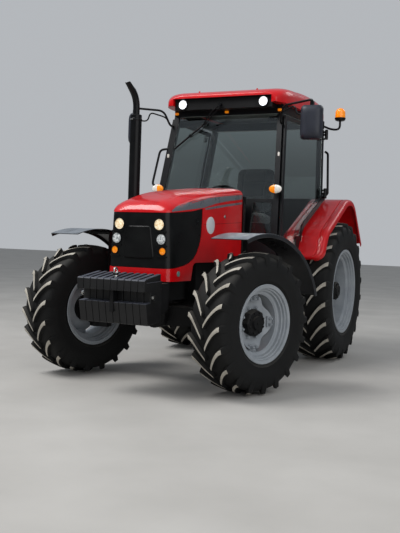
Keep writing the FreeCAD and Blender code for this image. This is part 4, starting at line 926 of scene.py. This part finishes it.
# %% Cab planes and mirrors
post_foot = Vector((0.690, -0.210, 1.350))
side_lean, side_flare, front_lean = 0.088, 0.065, 0.226


def front_y(z):
    """Outer face of the cab's front."""
    return post_foot.y + front_lean * (z - post_foot.z)


def side_x(y, z):
    """Outer face of the cab's left side."""
    return post_foot.x - side_lean * (z - post_foot.z) + side_flare * (y - post_foot.y)


def corner_x(z):
    """Outer face of the left front post."""
    return side_x(front_y(z), z)


def shifted(base, *steps):
    """Points at steps from a base."""
    return [base + Vector(step) for step in steps]


# The photograph shows the right one folded nearly edge-on, in behind the exhaust
heads = [(1, Vector((1.000, -0.233, 2.405)), 10.0), (-1, Vector((-0.935, -0.205, 2.405)), -58.0)]
mirror_shell_layers = [(-0.062, 0.036, 0.090), (-0.058, 0.066, 0.124), (-0.044, 0.090, 0.146),
                       (-0.020, 0.101, 0.158), (0.008, 0.105, 0.162), (0.026, 0.105, 0.162),
                       (0.029, 0.103, 0.160), (0.029, 0.098, 0.155), (0.025, 0.097, 0.154)]
bm = bmesh.new()
for side, head, yaw in heads:
    start = len(bm.verts)
    soft_block(bm, mirror_shell_layers, (0, 0, 0), 0.038)
    soft_block(bm, [(0.0245, 0.096, 0.153), (0.0260, 0.0955, 0.1525)], (0, 0, 0), 0.034, index=1)
    turn = Matrix.Translation(head) @ Matrix.Rotation(math.radians(yaw), 4, "Z")
    bmesh.ops.transform(bm, matrix=turn, verts=since(bm, start))
    root = Vector((side * (corner_x(2.53) - 0.004), front_y(2.45) + 0.030, 2.450))
    arm = shifted(root, (0, 0, 0), (side * 0.012, -0.085, 0), (side * 0.060, -0.150, 0.150))
    pipe(bm, arm + [(head.x, head.y + 0.010, 2.620), (head.x, head.y + 0.010, 2.560)], 0.011, 0.060, index=2)
    brace = shifted(root, (side * 0.012, -0.085, 0.010), (side * 0.030, -0.150, 0.080))
    brace += shifted(head, (-side * 0.175, 0.016, 0.165), (-side * 0.150, 0.012, 0.075),
                     (-side * 0.030, 0.006, 0.085))
    pipe(bm, brace, 0.0075, 0.040, index=2)
    soft_block(bm, [(-0.020, 0.016, 0.030), (0.018, 0.016, 0.030)], (head.x, head.y + 0.004, 2.575), 0.008,
               index=2)
piece("mirrors_on_bent_arms", bm, [mirror_shell, mirror_glass, black_powder_coat], "chassis", ["mirrors"],
      40.0)

# %% Beacon
beacon_place = Vector((0.840, 1.300, 2.648))
dome_base, dome_r, dome_tall = 0.095, 0.0545, 0.049
dome = [(0.030, 0.0), (0.030, 0.055), (0.050, 0.0565), (dome_base, dome_r)]
dome += [(dome_base + dome_tall * math.sin(a), dome_r * math.cos(a))
         for a in (math.pi / 2 * i / 6 for i in range(1, 7))]
bm = bmesh.new()
pipe(bm, [(0.600, 1.275, 2.596), (0.650, 1.300, 2.596), (0.740, 1.300, 2.556), (0.840, 1.300, 2.552),
          (0.840, 1.300, 2.652)], 0.012, 0.080)
turned(bm, [(0.0, 0.0), (0.0, 0.040), (0.006, 0.052), (0.022, 0.060), (0.034, 0.061), (0.036, 0.058),
            (0.036, 0.0)], beacon_place, (0, 0, 1))
turned(bm, dome, beacon_place, (0, 0, 1), index=1)
piece("beacon_on_its_arm", bm, [black_powder_coat, amber_lens], "chassis", ["beacon"], 30.0)

# %% Work lamps, indicators and markers
# The indicator is an oval pod across the front post, white on its outer half and amber on its inner
fascia_y = -0.062
indicator_z, dot_z, marker_z = 1.783, 2.135, 2.584
pod_wide, pod_steps = 1.55, 12
marker_layers = [(-0.012, 0.017, 0.010), (-0.009, 0.019, 0.012), (0.004, 0.020, 0.013)]
marker_y = front_y(2.552) - 0.004
stalk = Vector((corner_x(indicator_z) - 0.012, front_y(indicator_z) - 0.060, indicator_z))
bm = bmesh.new()
lamp(bm, Vector((0.444, fascia_y - 0.010, 2.655)), 0.050, 0.010, 1, 0.04)
rod(bm, *shifted(stalk, (0, 0.020, 0), (-0.002, 0.066, 0)), 0.011, 14)
start = len(bm.verts)
turned(bm, [(-0.018, 0.0), (-0.018, 0.014), (-0.008, 0.034), (0.006, 0.043), (0.010, 0.043), (0.010, 0.0)],
       stalk, (0, -1, 0))
for v in since(bm, start):
    v.co.x = stalk.x + (v.co.x - stalk.x) * pod_wide
pod_dome = [(0.009, 0.0425), (0.019, 0.040), (0.026, 0.031), (0.0295, 0.017), (0.0305, 0.0)]
for first, index in ((0.0, 3), (math.pi, 2)):
    angles = [first + math.pi * i / pod_steps for i in range(pod_steps + 1)]
    skin(bm, [[stalk + Vector((radius * pod_wide * math.sin(a), -reach, radius * math.cos(a)))
               for a in angles] for reach, radius in pod_dome], index, ends=False, closed=False)
soft_block(bm, marker_layers, (0.575, marker_y, marker_z), 0.006, index=2)
soft_block(bm, [(-0.010, 0.008, 0.017), (-0.007, 0.010, 0.020), (0.004, 0.010, 0.020)],
           (corner_x(dot_z) - 0.018, front_y(dot_z), dot_z), 0.009, index=3)
flipped(bm)
bmesh.ops.remove_doubles(bm, verts=bm.verts, dist=1e-6)
soft_block(bm, marker_layers, (0.0, marker_y, marker_z), 0.006, index=2)
piece("cab_lamps_with_lenses", bm, [black_powder_coat, work_lens, amber_lens, white_lens], "chassis",
      ["cab_lamps"], 35.0)

# %% [markdown]
# The wiper hangs from the fascia over the windscreen, which is a plane, so its arm and blade are given by
# x and z alone and stand a few millimetres off the glass.

# %% Wiper and rails


def on_screen(x, z, proud):
    return Vector((x, front_y(z) - proud, z))


pivot = Vector((-0.020, fascia_y - 0.004, 2.640))
bm = bmesh.new()
rod(bm, *shifted(pivot, (0, 0.012, 0), (0, -0.022, 0)), 0.020, 20, 0.016)
pipe(bm, shifted(pivot, (0, -0.014, 0)) + [(-0.120, -0.078, 2.560), on_screen(-0.250, 2.440, 0.032),
                                           on_screen(-0.380, 2.345, 0.026)], 0.0065, 0.040)
pipe(bm, shifted(pivot, (0.004, -0.014, -0.030)) + [(-0.110, -0.074, 2.525), on_screen(-0.240, 2.405, 0.030),
                                                    on_screen(-0.372, 2.322, 0.026)], 0.004, 0.040)
for width, proud in ((0.011, 0.018), (0.005, 0.009)):
    pipe(bm, [on_screen(-0.205, 2.490, proud), on_screen(-0.545, 2.205, proud)], width, 0.01, 10)
soft_block(bm, [(-0.012, 0.016, 0.016), (0.012, 0.016, 0.016)], on_screen(-0.375, 2.340, 0.020), 0.006)
piece("windscreen_wiper", bm, [black_powder_coat], "chassis", sharp=40.0)

rail_y = 1.050
bm = bmesh.new()
pipe(bm, [(side_x(rail_y, 1.80) + 0.010, rail_y + 0.080, 1.80),
          (side_x(rail_y, 1.80) + 0.045, rail_y + 0.085, 1.82),
          (side_x(rail_y, 2.30) + 0.045, rail_y + 0.185, 2.28),
          (side_x(rail_y, 2.30) + 0.010, rail_y + 0.190, 2.30)], 0.013, 0.030)
flipped(bm)
pipe(bm, [(-corner_x(z) - stand, front_y(z) + 0.020, z) for z, stand in (
    (2.215, -0.012), (2.205, 0.105), (1.825, 0.115), (1.805, -0.012))], 0.012, 0.045)
piece("grab_rails", bm, [black_powder_coat], "chassis", sharp=40.0)

# %% Tow pin and ring
pin_y, eye_z, eye_r = -2.085 + 0.080, 1.003, 0.024
bm = bmesh.new()
rod(bm, (0, pin_y, 0.640), (0, pin_y, 0.982), 0.0142, 20)
rod(bm, (0, pin_y, 0.962), (0, pin_y, 0.9865), 0.0232, 20, 0.019)
eye = [(0, pin_y + c, eye_z + s) for c, s in around(28, eye_r)]
pipe(bm, eye + eye[:1], 0.0076, 0.001, 10)
piece("tow_pin_and_ring", bm, [plated_steel], "chassis", sharp=40.0)

# %% [markdown]
# Each rear fender is one pressing: an inner wall, a crown that follows the tyre, and an edge rolled down.
# A groove is pressed beside that edge, and the lower front corner is rounded. It is swept along the same
# crown line as the solid, one closed section at a time, with the width drawn in over the last 100 mm.

# %% Rear fenders
# One row a corner of the crown: angle about the axle, clearance over the tyre, radius of the corner
crown_corners = [(155.74, 0.1334, 0.0), (136.96, 0.1754, 0.260), (85.48, 0.2612, 0.400),
                 (70.44, 0.3201, 0.320), (34.79, 0.1826, 0.0)]
crown_points = [Vector((0, rear_axle_y, rear_wheel["tip"]))
                + Vector((0, math.cos(math.radians(angle)), math.sin(math.radians(angle))))
                * (rear_wheel["tip"] + clearance) for angle, clearance, _ in crown_corners]
cuts = [radius * math.tan((b - a).angle(c - b) / 2) for a, b, c, (_, _, radius) in zip(
    crown_points, crown_points[1:], crown_points[2:], crown_corners[1:])]
crown_line = rounded(crown_points, cuts, 12)
crown_lengths = [0.0]
for a, b in zip(crown_line, crown_line[1:]):
    crown_lengths.append(crown_lengths[-1] + (b - a).length)


def on_crown(s):
    """Point and outward direction at a distance along the crown."""
    k = 0
    while k < len(crown_line) - 2 and crown_lengths[k + 1] < s:
        k += 1
    while (crown_line[k + 1] - crown_line[k]).length < 1e-6:
        k += 1
    step = crown_line[k + 1] - crown_line[k]
    place = crown_line[k] + step.normalized() * (s - crown_lengths[k])
    return place, Vector((0, -step.z, step.y)).normalized()


def fender_section(s, drop):
    """Closed ring across the fender; near the front end it narrows, and drop sinks its sheet."""
    corner, wall_x, platform_z = 0.100, 0.562, 1.060
    edge = 1.000 if s > corner else 1.000 - corner + math.sqrt(max(corner ** 2 - (corner - s) ** 2, 0.0))
    outer = [(wall_x, -0.020), (0.5635, -0.006), (0.570, -0.001), (0.580, 0.0), (0.72, 0.0)]
    outer += [(edge - x, h) for x, h in (
        (0.086, 0.0), (0.081, -0.002), (0.078, -0.010), (0.070, -0.010), (0.067, -0.002), (0.062, 0.0),
        (0.034, 0.0), (0.018, -0.0035), (0.006, -0.013), (0.0, -0.028), (0.0, -0.066))]
    inner = [(edge - x, h) for x, h in ((0.006, -0.066), (0.007, -0.030), (0.016, -0.014), (0.034, -0.008),
                                        (0.062, -0.015), (0.088, -0.015))]
    inner += [(0.72, -0.008), (0.580, -0.008), (0.5705, -0.020)]
    place, up = on_crown(s)
    ring = [Vector((wall_x, place.y, min(platform_z, place.z - 0.021)))]
    ring += [Vector((x, place.y, place.z)) + up * min(h, -drop) for x, h in outer]
    place, up = on_crown(s + (0.006 if drop else 0.0))
    ring += [Vector((x, place.y, place.z)) + up * min(h, -drop - 0.001) for x, h in inner]
    return ring + [Vector((0.5705, place.y, min(platform_z, place.z - 0.021)))]


stations = [(0.0, 0.040), (0.0, 0.018), (0.003, 0.007), (0.010, 0.0015)]
stations += [(s, 0.0) for s in (0.020, 0.035, 0.055, 0.080, 0.100)]
stations += [(0.100 + (crown_lengths[-1] - 0.100) * k / 60, 0.0) for k in range(1, 61)]
bm = bmesh.new()
skin(bm, [fender_section(s, drop) for s, drop in stations])
flipped(bm)
piece("rear_fenders_rolled", bm, [red_enamel], "chassis", ["rear_fenders"], 45.0)

# %% [markdown]
# The roof is one moulded shell. Its solid is drawn through six sections; here the same sections are joined
# by a smooth curve, and the edge between side and top is rounded. The recess for the front fascia stays.
# The underside is the cab's dark headliner, and two sun visors hang behind the windscreen's top edge.

# %% Roof
# One row a section: y, half width, lower edge, side top, crown
roof_rows = [(-0.100, 0.590, 2.640, 2.715, 2.742), (-0.020, 0.640, 2.640, 2.740, 2.778),
             (0.420, 0.668, 2.640, 2.790, 2.836), (0.950, 0.668, 2.640, 2.806, 2.856),
             (1.240, 0.660, 2.650, 2.776, 2.826), (1.450, 0.600, 2.680, 2.704, 2.728)]
recess_y, recess_half, recess_top = -0.042, 0.540, 2.712


def roof_ring(y, recess, inset):
    """Closed ring across the roof, moved in by the inset, with the recess for the fascia or without."""
    half, z0, z_side, z_top = eased(roof_rows, y, direct=False)
    half, z_top = half - inset, z_top - inset
    low = Vector((half, z_side - 0.050))
    shoulder = pulled(low, Vector((half, z_top - 0.006)), Vector((half - 0.150, z_top)), 8)
    side = [(half, z0 + inset)] + [tuple(p) for p in shoulder] + [(half * 0.45, z_top), (half * 0.2, z_top)]
    lip = recess_top if recess else z0 + 0.0004
    ring = side + [(-x, z) for x, z in reversed(side)]
    ring += [(-recess_half, z0 + (inset if recess else 0.0)), (-recess_half, lip), (recess_half, lip),
             (recess_half, z0)]
    return [(x, y, z) for x, z in ring]


rows = [(-0.100, True, 0.010), (-0.0985, True, 0.005), (-0.094, True, 0.0015), (-0.088, True, 0.0),
        (-0.065, True, 0.0), (recess_y, True, 0.0), (recess_y, False, 0.0)]
rows += [(recess_y + 1.477 * k / 40, False, 0.0) for k in range(1, 41)]
rows += [(1.444, False, 0.004), (1.450, False, 0.012)]
bm = bmesh.new()
skin(bm, [roof_ring(*row) for row in rows])
bmesh.ops.dissolve_degenerate(bm, dist=1e-6, edges=bm.edges[:])
stub_y = 0.02
stub_z = eased(roof_rows, stub_y, direct=False)[3]
for x in (-0.30, 0.34):
    rod(bm, (x, stub_y, stub_z - 0.004), (x, stub_y, stub_z + 0.012), 0.008, 12)
outward(bm)
bm.normal_update()
for face in bm.faces:
    if face.normal.z < -0.8 and max(abs(v.co.x) for v in face.verts) < 0.60:
        face.material_index = 1
for x, z, half_w, half_h in ((-0.404, 2.482, 0.160, 0.040), (0.500, 2.503, 0.064, 0.026)):
    y = front_y(z) + 0.062
    soft_block(bm, [(y - 0.010, half_w - 0.006, half_h - 0.006), (y - 0.006, half_w, half_h),
                    (y + 0.006, half_w, half_h), (y + 0.010, half_w - 0.006, half_h - 0.006)],
               (x, 0, z), 0.024, index=1)
piece("roof_shell", bm, [red_enamel, grained_plastic], "chassis", ["cab_roof"], 50.0)

# %% [markdown]
# The front weights are ten rough castings side by side on the carrier, hung from their hooked tops. The
# hooks are thinner than the bodies, so dark slots run between them, and their tops rise towards the bonnet.
# One clamp bolt runs through all ten in the recess between the upper and lower halves of their fronts.

# %% Front weights
# Both outlines are (distance from the front end, z) as seen from the side
weight_front, weight_length, pitch = -2.085, 0.285, 0.0626
weight_body = [(0.0, 0.852), (0.0, 0.935), (0.010, 0.945), (0.030, 0.948), (0.036, 0.922),
               (weight_length, 0.930), (weight_length, 0.602), (0.079, 0.583), (0.065, 0.590),
               (0.028, 0.757), (0.100, 0.764),
               (0.100, 0.846)]
weight_hook = [(0.026, 0.947), (0.060, 0.953), (0.160, 0.968), (weight_length, 0.986), (weight_length, 0.905),
               (0.026, 0.905)]


def round_edges(thing, width, angle=math.radians(30)):
    """A small rounding on an object's sharp edges."""
    rounding = thing.modifiers.new("edges", "BEVEL")
    rounding.width = width
    rounding.segments = 2
    rounding.limit_method = "ANGLE"
    rounding.angle_limit = angle
    rounding.use_clamp_overlap = True


bm = bmesh.new()
for k in range(10):
    x0 = (k - 5) * pitch + 0.002
    slab(bm, [(weight_front + y, z) for y, z in weight_body], x0, x0 + pitch - 0.004)
    slab(bm, [(weight_front + y, z) for y, z in weight_hook], x0 + 0.010, x0 + pitch - 0.016)
weights = piece("cast_front_weights", bm, [weight_iron], "chassis", ["front_weights"], 35.0)
round_edges(weights, 0.0035)

bolt_x, bolt_y, bolt_z = 0.330, -1.965, 0.806
bm = bmesh.new()
rod(bm, (-bolt_x, bolt_y, bolt_z), (bolt_x, bolt_y, bolt_z), 0.010, 14)
for x in (-bolt_x, bolt_x):
    rod(bm, (x - 0.008, bolt_y, bolt_z), (x + 0.008, bolt_y, bolt_z), 0.019, 6)
piece("weight_clamp_bolt", bm, [plated_steel], "chassis", sharp=40.0)

# %% [markdown]
# The exhaust stands beside the bonnet. A perforated heat shield wraps the silencer, held by two clamp
# bands, and the tail pipe bends forward above it and ends in a slanted cut. The shield's holes are a grid
# of small dark discs, painted shade for the dark inside seen through each hole, repeated by Geometry Nodes
# up the shield and about its axis.

# %% Exhaust
stack = Vector((-0.425, -1.040, 0.0))
shield_r, low, high = 0.0525, 1.160, 2.400
bm = bmesh.new()
# Each hole is a small dark disc just proud of the shield: painted shade for the dark inside seen through it.
rod(bm, (shield_r - 0.0005, 0, 0), (shield_r + 0.0006, 0, 0), 0.0038, 8)
holes = grown(new_mesh("hole", bm, black_seam_and_hole_shade), holes_up_shield, shield_inputs,
              {"Around": 18, "Rings": 66, "Rise": 0.0165, "Base material": black_seam_and_hole_shade})
bm = bmesh.new()
bm.from_mesh(holes)
bm.transform(Matrix.Translation(stack + Vector((0, 0, low + 0.075))))
for face in bm.faces:
    face.material_index = 1
turned(bm, [(low, 0.0), (low, shield_r - 0.003), (low + 0.003, shield_r), (high - 0.004, shield_r),
            (high, shield_r - 0.004), (high - 0.002, 0.034), (high - 0.002, 0.0)], stack, (0, 0, 1), 40)
for z in (low + 0.040, high - 0.045):
    turned(bm, [(z - 0.011, 0.045), (z - 0.011, shield_r + 0.001), (z - 0.009, shield_r + 0.0025),
                (z + 0.009, shield_r + 0.0025), (z + 0.011, shield_r + 0.001), (z + 0.011, 0.045)],
           stack, (0, 0, 1), 40)
    rod(bm, *shifted(stack, (-0.030, -shield_r - 0.004, z), (0.0, -shield_r - 0.004, z)), 0.005, 6, index=2)
pipe(bm, shifted(stack, (0.210, 0, 1.000), (0, 0, 1.000), (0, 0, 1.170)), 0.031, 0.060, 20)
start = len(bm.verts)
pipe(bm, shifted(stack, (0, 0, 2.380), (0, 0, 2.550), (-0.022, -0.130, 2.690)), 0.031, 0.110, 24)
for v in since(bm, start):
    # The slanted cut: nothing stands above a plane that falls towards the front
    over = v.co.z - 2.668 + 0.55 * (v.co.y - stack.y + 0.120)
    if over > 0 and v.co.y < stack.y - 0.060:
        v.co.z -= over
        v.co.y += over * 0.25
piece("exhaust_with_heat_shield", bm, [black_powder_coat, black_seam_and_hole_shade, plated_steel], "chassis", ["exhaust"],
      40.0)

# %% [markdown]
# Through the glass show the steering console with its wheel, and the seat. The console is a moulding that
# leans back, and the wheel is a padded rim on three spokes.

# %% Steering console and wheel
console_foot, console_lean = 1.085, 0.1537
rim_r = 0.186
bm = bmesh.new()
soft_block(bm, [(console_foot, 0.150, 0.108), (1.20, 0.146, 0.100), (1.36, 0.138, 0.088),
                (1.47, 0.140, 0.080), (1.530, 0.149, 0.075), (1.552, 0.147, 0.073),
                (1.560, 0.138, 0.064)], (0, 0, 0), 0.045, "Z")
for v in bm.verts:
    v.co.y += -0.088 + (v.co.z - console_foot) * console_lean
wheel_axis = Vector((0, 0.110, 0.160)).normalized()
column_top = Vector((0, 0.130, 1.700))
wheel_hub = column_top + wheel_axis * 0.020
rod(bm, (0, 0.020, 1.540), column_top, 0.030, 24)
turned(bm, [(-0.020, 0.0), (-0.020, 0.034), (-0.012, 0.042), (0.010, 0.042), (0.020, 0.036), (0.024, 0.0)],
       wheel_hub, wheel_axis, 32, 1)
grip = [(0.013 * s, rim_r + 0.012 * c) for c, s in around(12)]
turned(bm, grip + grip[:1], wheel_hub, wheel_axis, 64, 1)
across = Vector((1, 0, 0))
for degrees in (-90, 20, 160):
    a = math.radians(degrees)
    way = across * math.cos(a) + wheel_axis.cross(across).normalized() * math.sin(a)
    rod(bm, wheel_hub + way * 0.030, wheel_hub + way * rim_r, 0.013, 12, 0.009, 1)
bmesh.ops.remove_doubles(bm, verts=bm.verts[:], dist=1e-6)
piece("console_and_steering_wheel", bm, [console_plastic, grained_plastic], "chassis", ["steering_console"],
      40.0)

# %% [markdown]
# The seat's foam is covered in woven cloth. Each pad starts a little small, is remeshed into even cells and
# swells under cloth pressure, with its underside and its piped seam held. How far a point may move is
# capped. The sewn channels are pressed in afterwards.

# %% Seat cushions
seat_weave, tree, place = new_material("charcoal_woven_seat_cloth")
threads = [add(tree, "ShaderNodeTexWave", {"Vector": place, "Scale": 160.0, "Distortion": 0.6},
               bands_direction=way).outputs["Fac"] for way in ("X", "Z")]
yarn = sums(tree, "MULTIPLY", *threads)
worn_patch = add(tree, "ShaderNodeTexNoise", {"Vector": place, "Scale": 9.0, "Detail": 5.0}).outputs["Fac"]
weave_tone = ramp(tree, sums(tree, "MULTIPLY", yarn, worn_patch), [(0.05, "#1b1c1e"), (0.55, "#3a3c40")])
shade(tree, Base_Color=weave_tone, Roughness=0.9, Sheen_Weight=0.35, Normal=bump(tree, yarn, 0.6, 0.0008))


def swollen(mesh, voxel, cap, held):
    """The closed pad remeshed, then blown up by cloth pressure while the held points stay."""
    carrier = shown("pad", mesh)
    remesh = carrier.modifiers.new("cells", "REMESH")
    remesh.mode = "VOXEL"
    remesh.voxel_size = voxel
    even = frozen(carrier)
    carrier.modifiers.clear()
    carrier.data = even
    start = [v.co.copy() for v in even.vertices]
    group = carrier.vertex_groups.new(name="held")
    group.add([v.index for v in even.vertices if held(v.co)], 1.0, "REPLACE")
    cloth = carrier.modifiers.new("swell", "CLOTH").settings
    cloth.use_pressure = True
    cloth.uniform_pressure_force = 4.0
    cloth.vertex_group_mass = "held"
    cloth.effector_weights.gravity = 0.0
    for number in range(1, 21):
        scene.frame_set(number)
    blown = frozen(carrier)
    carrier.modifiers.clear()
    scene.frame_set(1)
    for v, old in zip(blown.vertices, start):
        move = v.co - old
        if move.length > cap:
            v.co = old + move.normalized() * cap
    carrier.data = blown
    carrier.modifiers.new("smooth", "SUBSURF").levels = 1
    result = frozen(carrier)
    bpy.data.objects.remove(carrier)
    result.materials.clear()
    result.materials.append(seat_weave)
    return result


def pad(half_w, length, thick, round_off, seams_along, seams_across, place):
    """One cushion lying flat: x across, y along, z up; the seams are sewn channels."""
    bm = bmesh.new()
    half_l = length / 2
    soft_block(bm, [(z, half_w - inset, half_l - inset) for z, inset in (
        (0.0, 0.012), (0.010, 0.002), (thick * 0.5, 0.0), (thick - 0.026, 0.004), (thick - 0.010, 0.018),
        (thick - 0.006, 0.045))], (0, 0, 0), round_off, "Z", 8)
    outward(bm)
    piping = thick * 0.62

    def past(p, margin):
        return max(abs(p.x) - (half_w - margin), abs(p.y) - (half_l - margin)) > 0

    def held(p):
        return p.z < 0.012 or (past(p, 0.020) and abs(p.z - piping) < 0.006)

    result = swollen(new_mesh("pad", bm), 0.008, 0.014, held)
    for v in result.vertices:
        if v.co.z > thick * 0.55:
            for off in [v.co.x - at for at in seams_along] + [v.co.y - at for at in seams_across]:
                v.co.z -= 0.009 * math.exp(-(off / 0.007) ** 2)
        if past(v.co, 0.030):
            inward = Vector((v.co.x, v.co.y, 0)).normalized()
            v.co -= inward * 0.004 * math.exp(-((v.co.z - piping) / 0.006) ** 2)
    result.transform(place)
    return result


rear_lean = math.atan2(0.075, 0.490)
cushion_place = Matrix.Translation((0, 0.660, 1.470))
backrest_place = Matrix.Translation((0, 0.948, 1.836)) @ Matrix.Rotation(math.radians(90) - rear_lean, 4, "X")
cushion = adopt("seat_cushion",
                pad(0.232, 0.424, 0.104, 0.060, (-0.135, 0.135), (-0.06, 0.06), cushion_place),
                "chassis", ["seat_cushions"], 60.0)
backrest = adopt("seat_backrest",
                 pad(0.218, 0.488, 0.088, 0.070, (-0.125, 0.125), (-0.08, 0.08), backrest_place),
                 "chassis", [], 60.0)

# %% [markdown]
# The CAD nodes that keep their own shape only get a finish and a small rounding on their edges, since no
# cast or pressed edge is knife sharp. Weld joins the loose triangles first, so that Bevel finds the edges.

# %% Finishes on the CAD's own nodes
# One row a finish: material, rounding in millimetres, nodes
finishes = [
    (black_iron, 1.5, "lower_links lift_rods top_link"), (black_iron, 4, "engine"),
    (black_iron, 2, "front_support knuckle_left knuckle_right lift_arms drawbar"),
    (black_iron, 3, "front_axle transmission rear_axle"), (plated_steel, 0, "track_rod"),
    (grained_plastic, 25, "fuel_tank"), (grained_plastic, 15, "battery_box"),
    (grained_plastic, 5, "roof_fascia"),
    (black_powder_coat, 3, "bulkhead cab_posts roof_frame door_frame_left door_frame_right"),
    (black_powder_coat, 4, "cab_tub"), (black_powder_coat, 5, "seat_base"), (black_powder_coat, 2, "steps"),
    (fender_plastic, 3, "front_fender_left front_fender_right"),
    (cab_glass, 0, "front_glass rear_window door_glass_left door_glass_right"),
]
dressed = 0
for material, edge_mm, names in finishes:
    for name in names.split():
        thing = nodes[name]
        thing.data.materials.clear()
        thing.data.materials.append(material)
        if edge_mm:
            thing.modifiers.new("weld", "WELD").merge_threshold = 1e-5
            round_edges(thing, edge_mm / 1000, math.radians(35.0))
        dressed += 1
print(dressed, "CAD nodes dressed")

# %% [markdown]
# The studio is plain: a pale floor with the same tone behind it, one large soft key light high on the
# photograph's left, a wide fill from the right, a weak rim light from behind and a gentle world. Each kind
# of ray sees its own world tone: reflections see a sky that darkens towards the ground, and what shows
# through glass is a little green.

# %% Floor and light


def area_light(name, place, target, size, power):
    data = bpy.data.lights.new(name, "AREA")
    data.shape = "SQUARE"
    data.size = size
    data.energy = power
    light = shown(name, data)
    light.visible_camera = False
    aim = (Vector(target) - Vector(place)).to_track_quat("-Z", "Y").to_matrix().to_4x4()
    light.matrix_world = Matrix.Translation(place) @ aim


floor_finish, tree, place = new_material("pale_smooth_concrete")
cloud = add(tree, "ShaderNodeTexNoise", {"Vector": place, "Scale": 1.2, "Detail": 8.0}).outputs["Fac"]
shade(tree, Roughness=0.8, Base_Color=ramp(tree, cloud, [(0.3, "#aeaba6"), (0.7, "#bbb8b3")]))
bm = bmesh.new()
bmesh.ops.create_grid(bm, x_segments=1, y_segments=1, size=40.0)
floor = shown("studio_floor", new_mesh("studio_floor", bm, floor_finish))

world = bpy.data.worlds.new("studio")
world.use_nodes = True
scene.world = world
tree = world.node_tree
path = add(tree, "ShaderNodeLightPath").outputs
direction = add(tree, "ShaderNodeTexCoord").outputs["Generated"]
height = add(tree, "ShaderNodeSeparateXYZ", {0: direction}).outputs["Z"]
sky = ramp(tree, height, [(0.0, "#3f4144"), (0.10, "#5d6064"), (0.45, "#c9d4e0")])
tone = mixed(tree, path["Is Camera Ray"], "#c7ccd2", "#dfe3e8")
tone = mixed(tree, path["Is Transmission Ray"], tone, "#effff7")
give(tree, tree.nodes["Background"], "Color", mixed(tree, path["Is Glossy Ray"], tone, sky))
give(tree, tree.nodes["Background"], "Strength", 0.62)

area_light("key", (-4.5, -5.0, 10.0), (0, 0, 1.0), 5.0, 950)
area_light("fill", (7.0, -6.0, 4.5), (0, 0, 1.0), 8.5, 330)
area_light("rim", (4.5, 8.0, 8.0), (0, 0, 1.5), 4.0, 110)
print("studio ready")
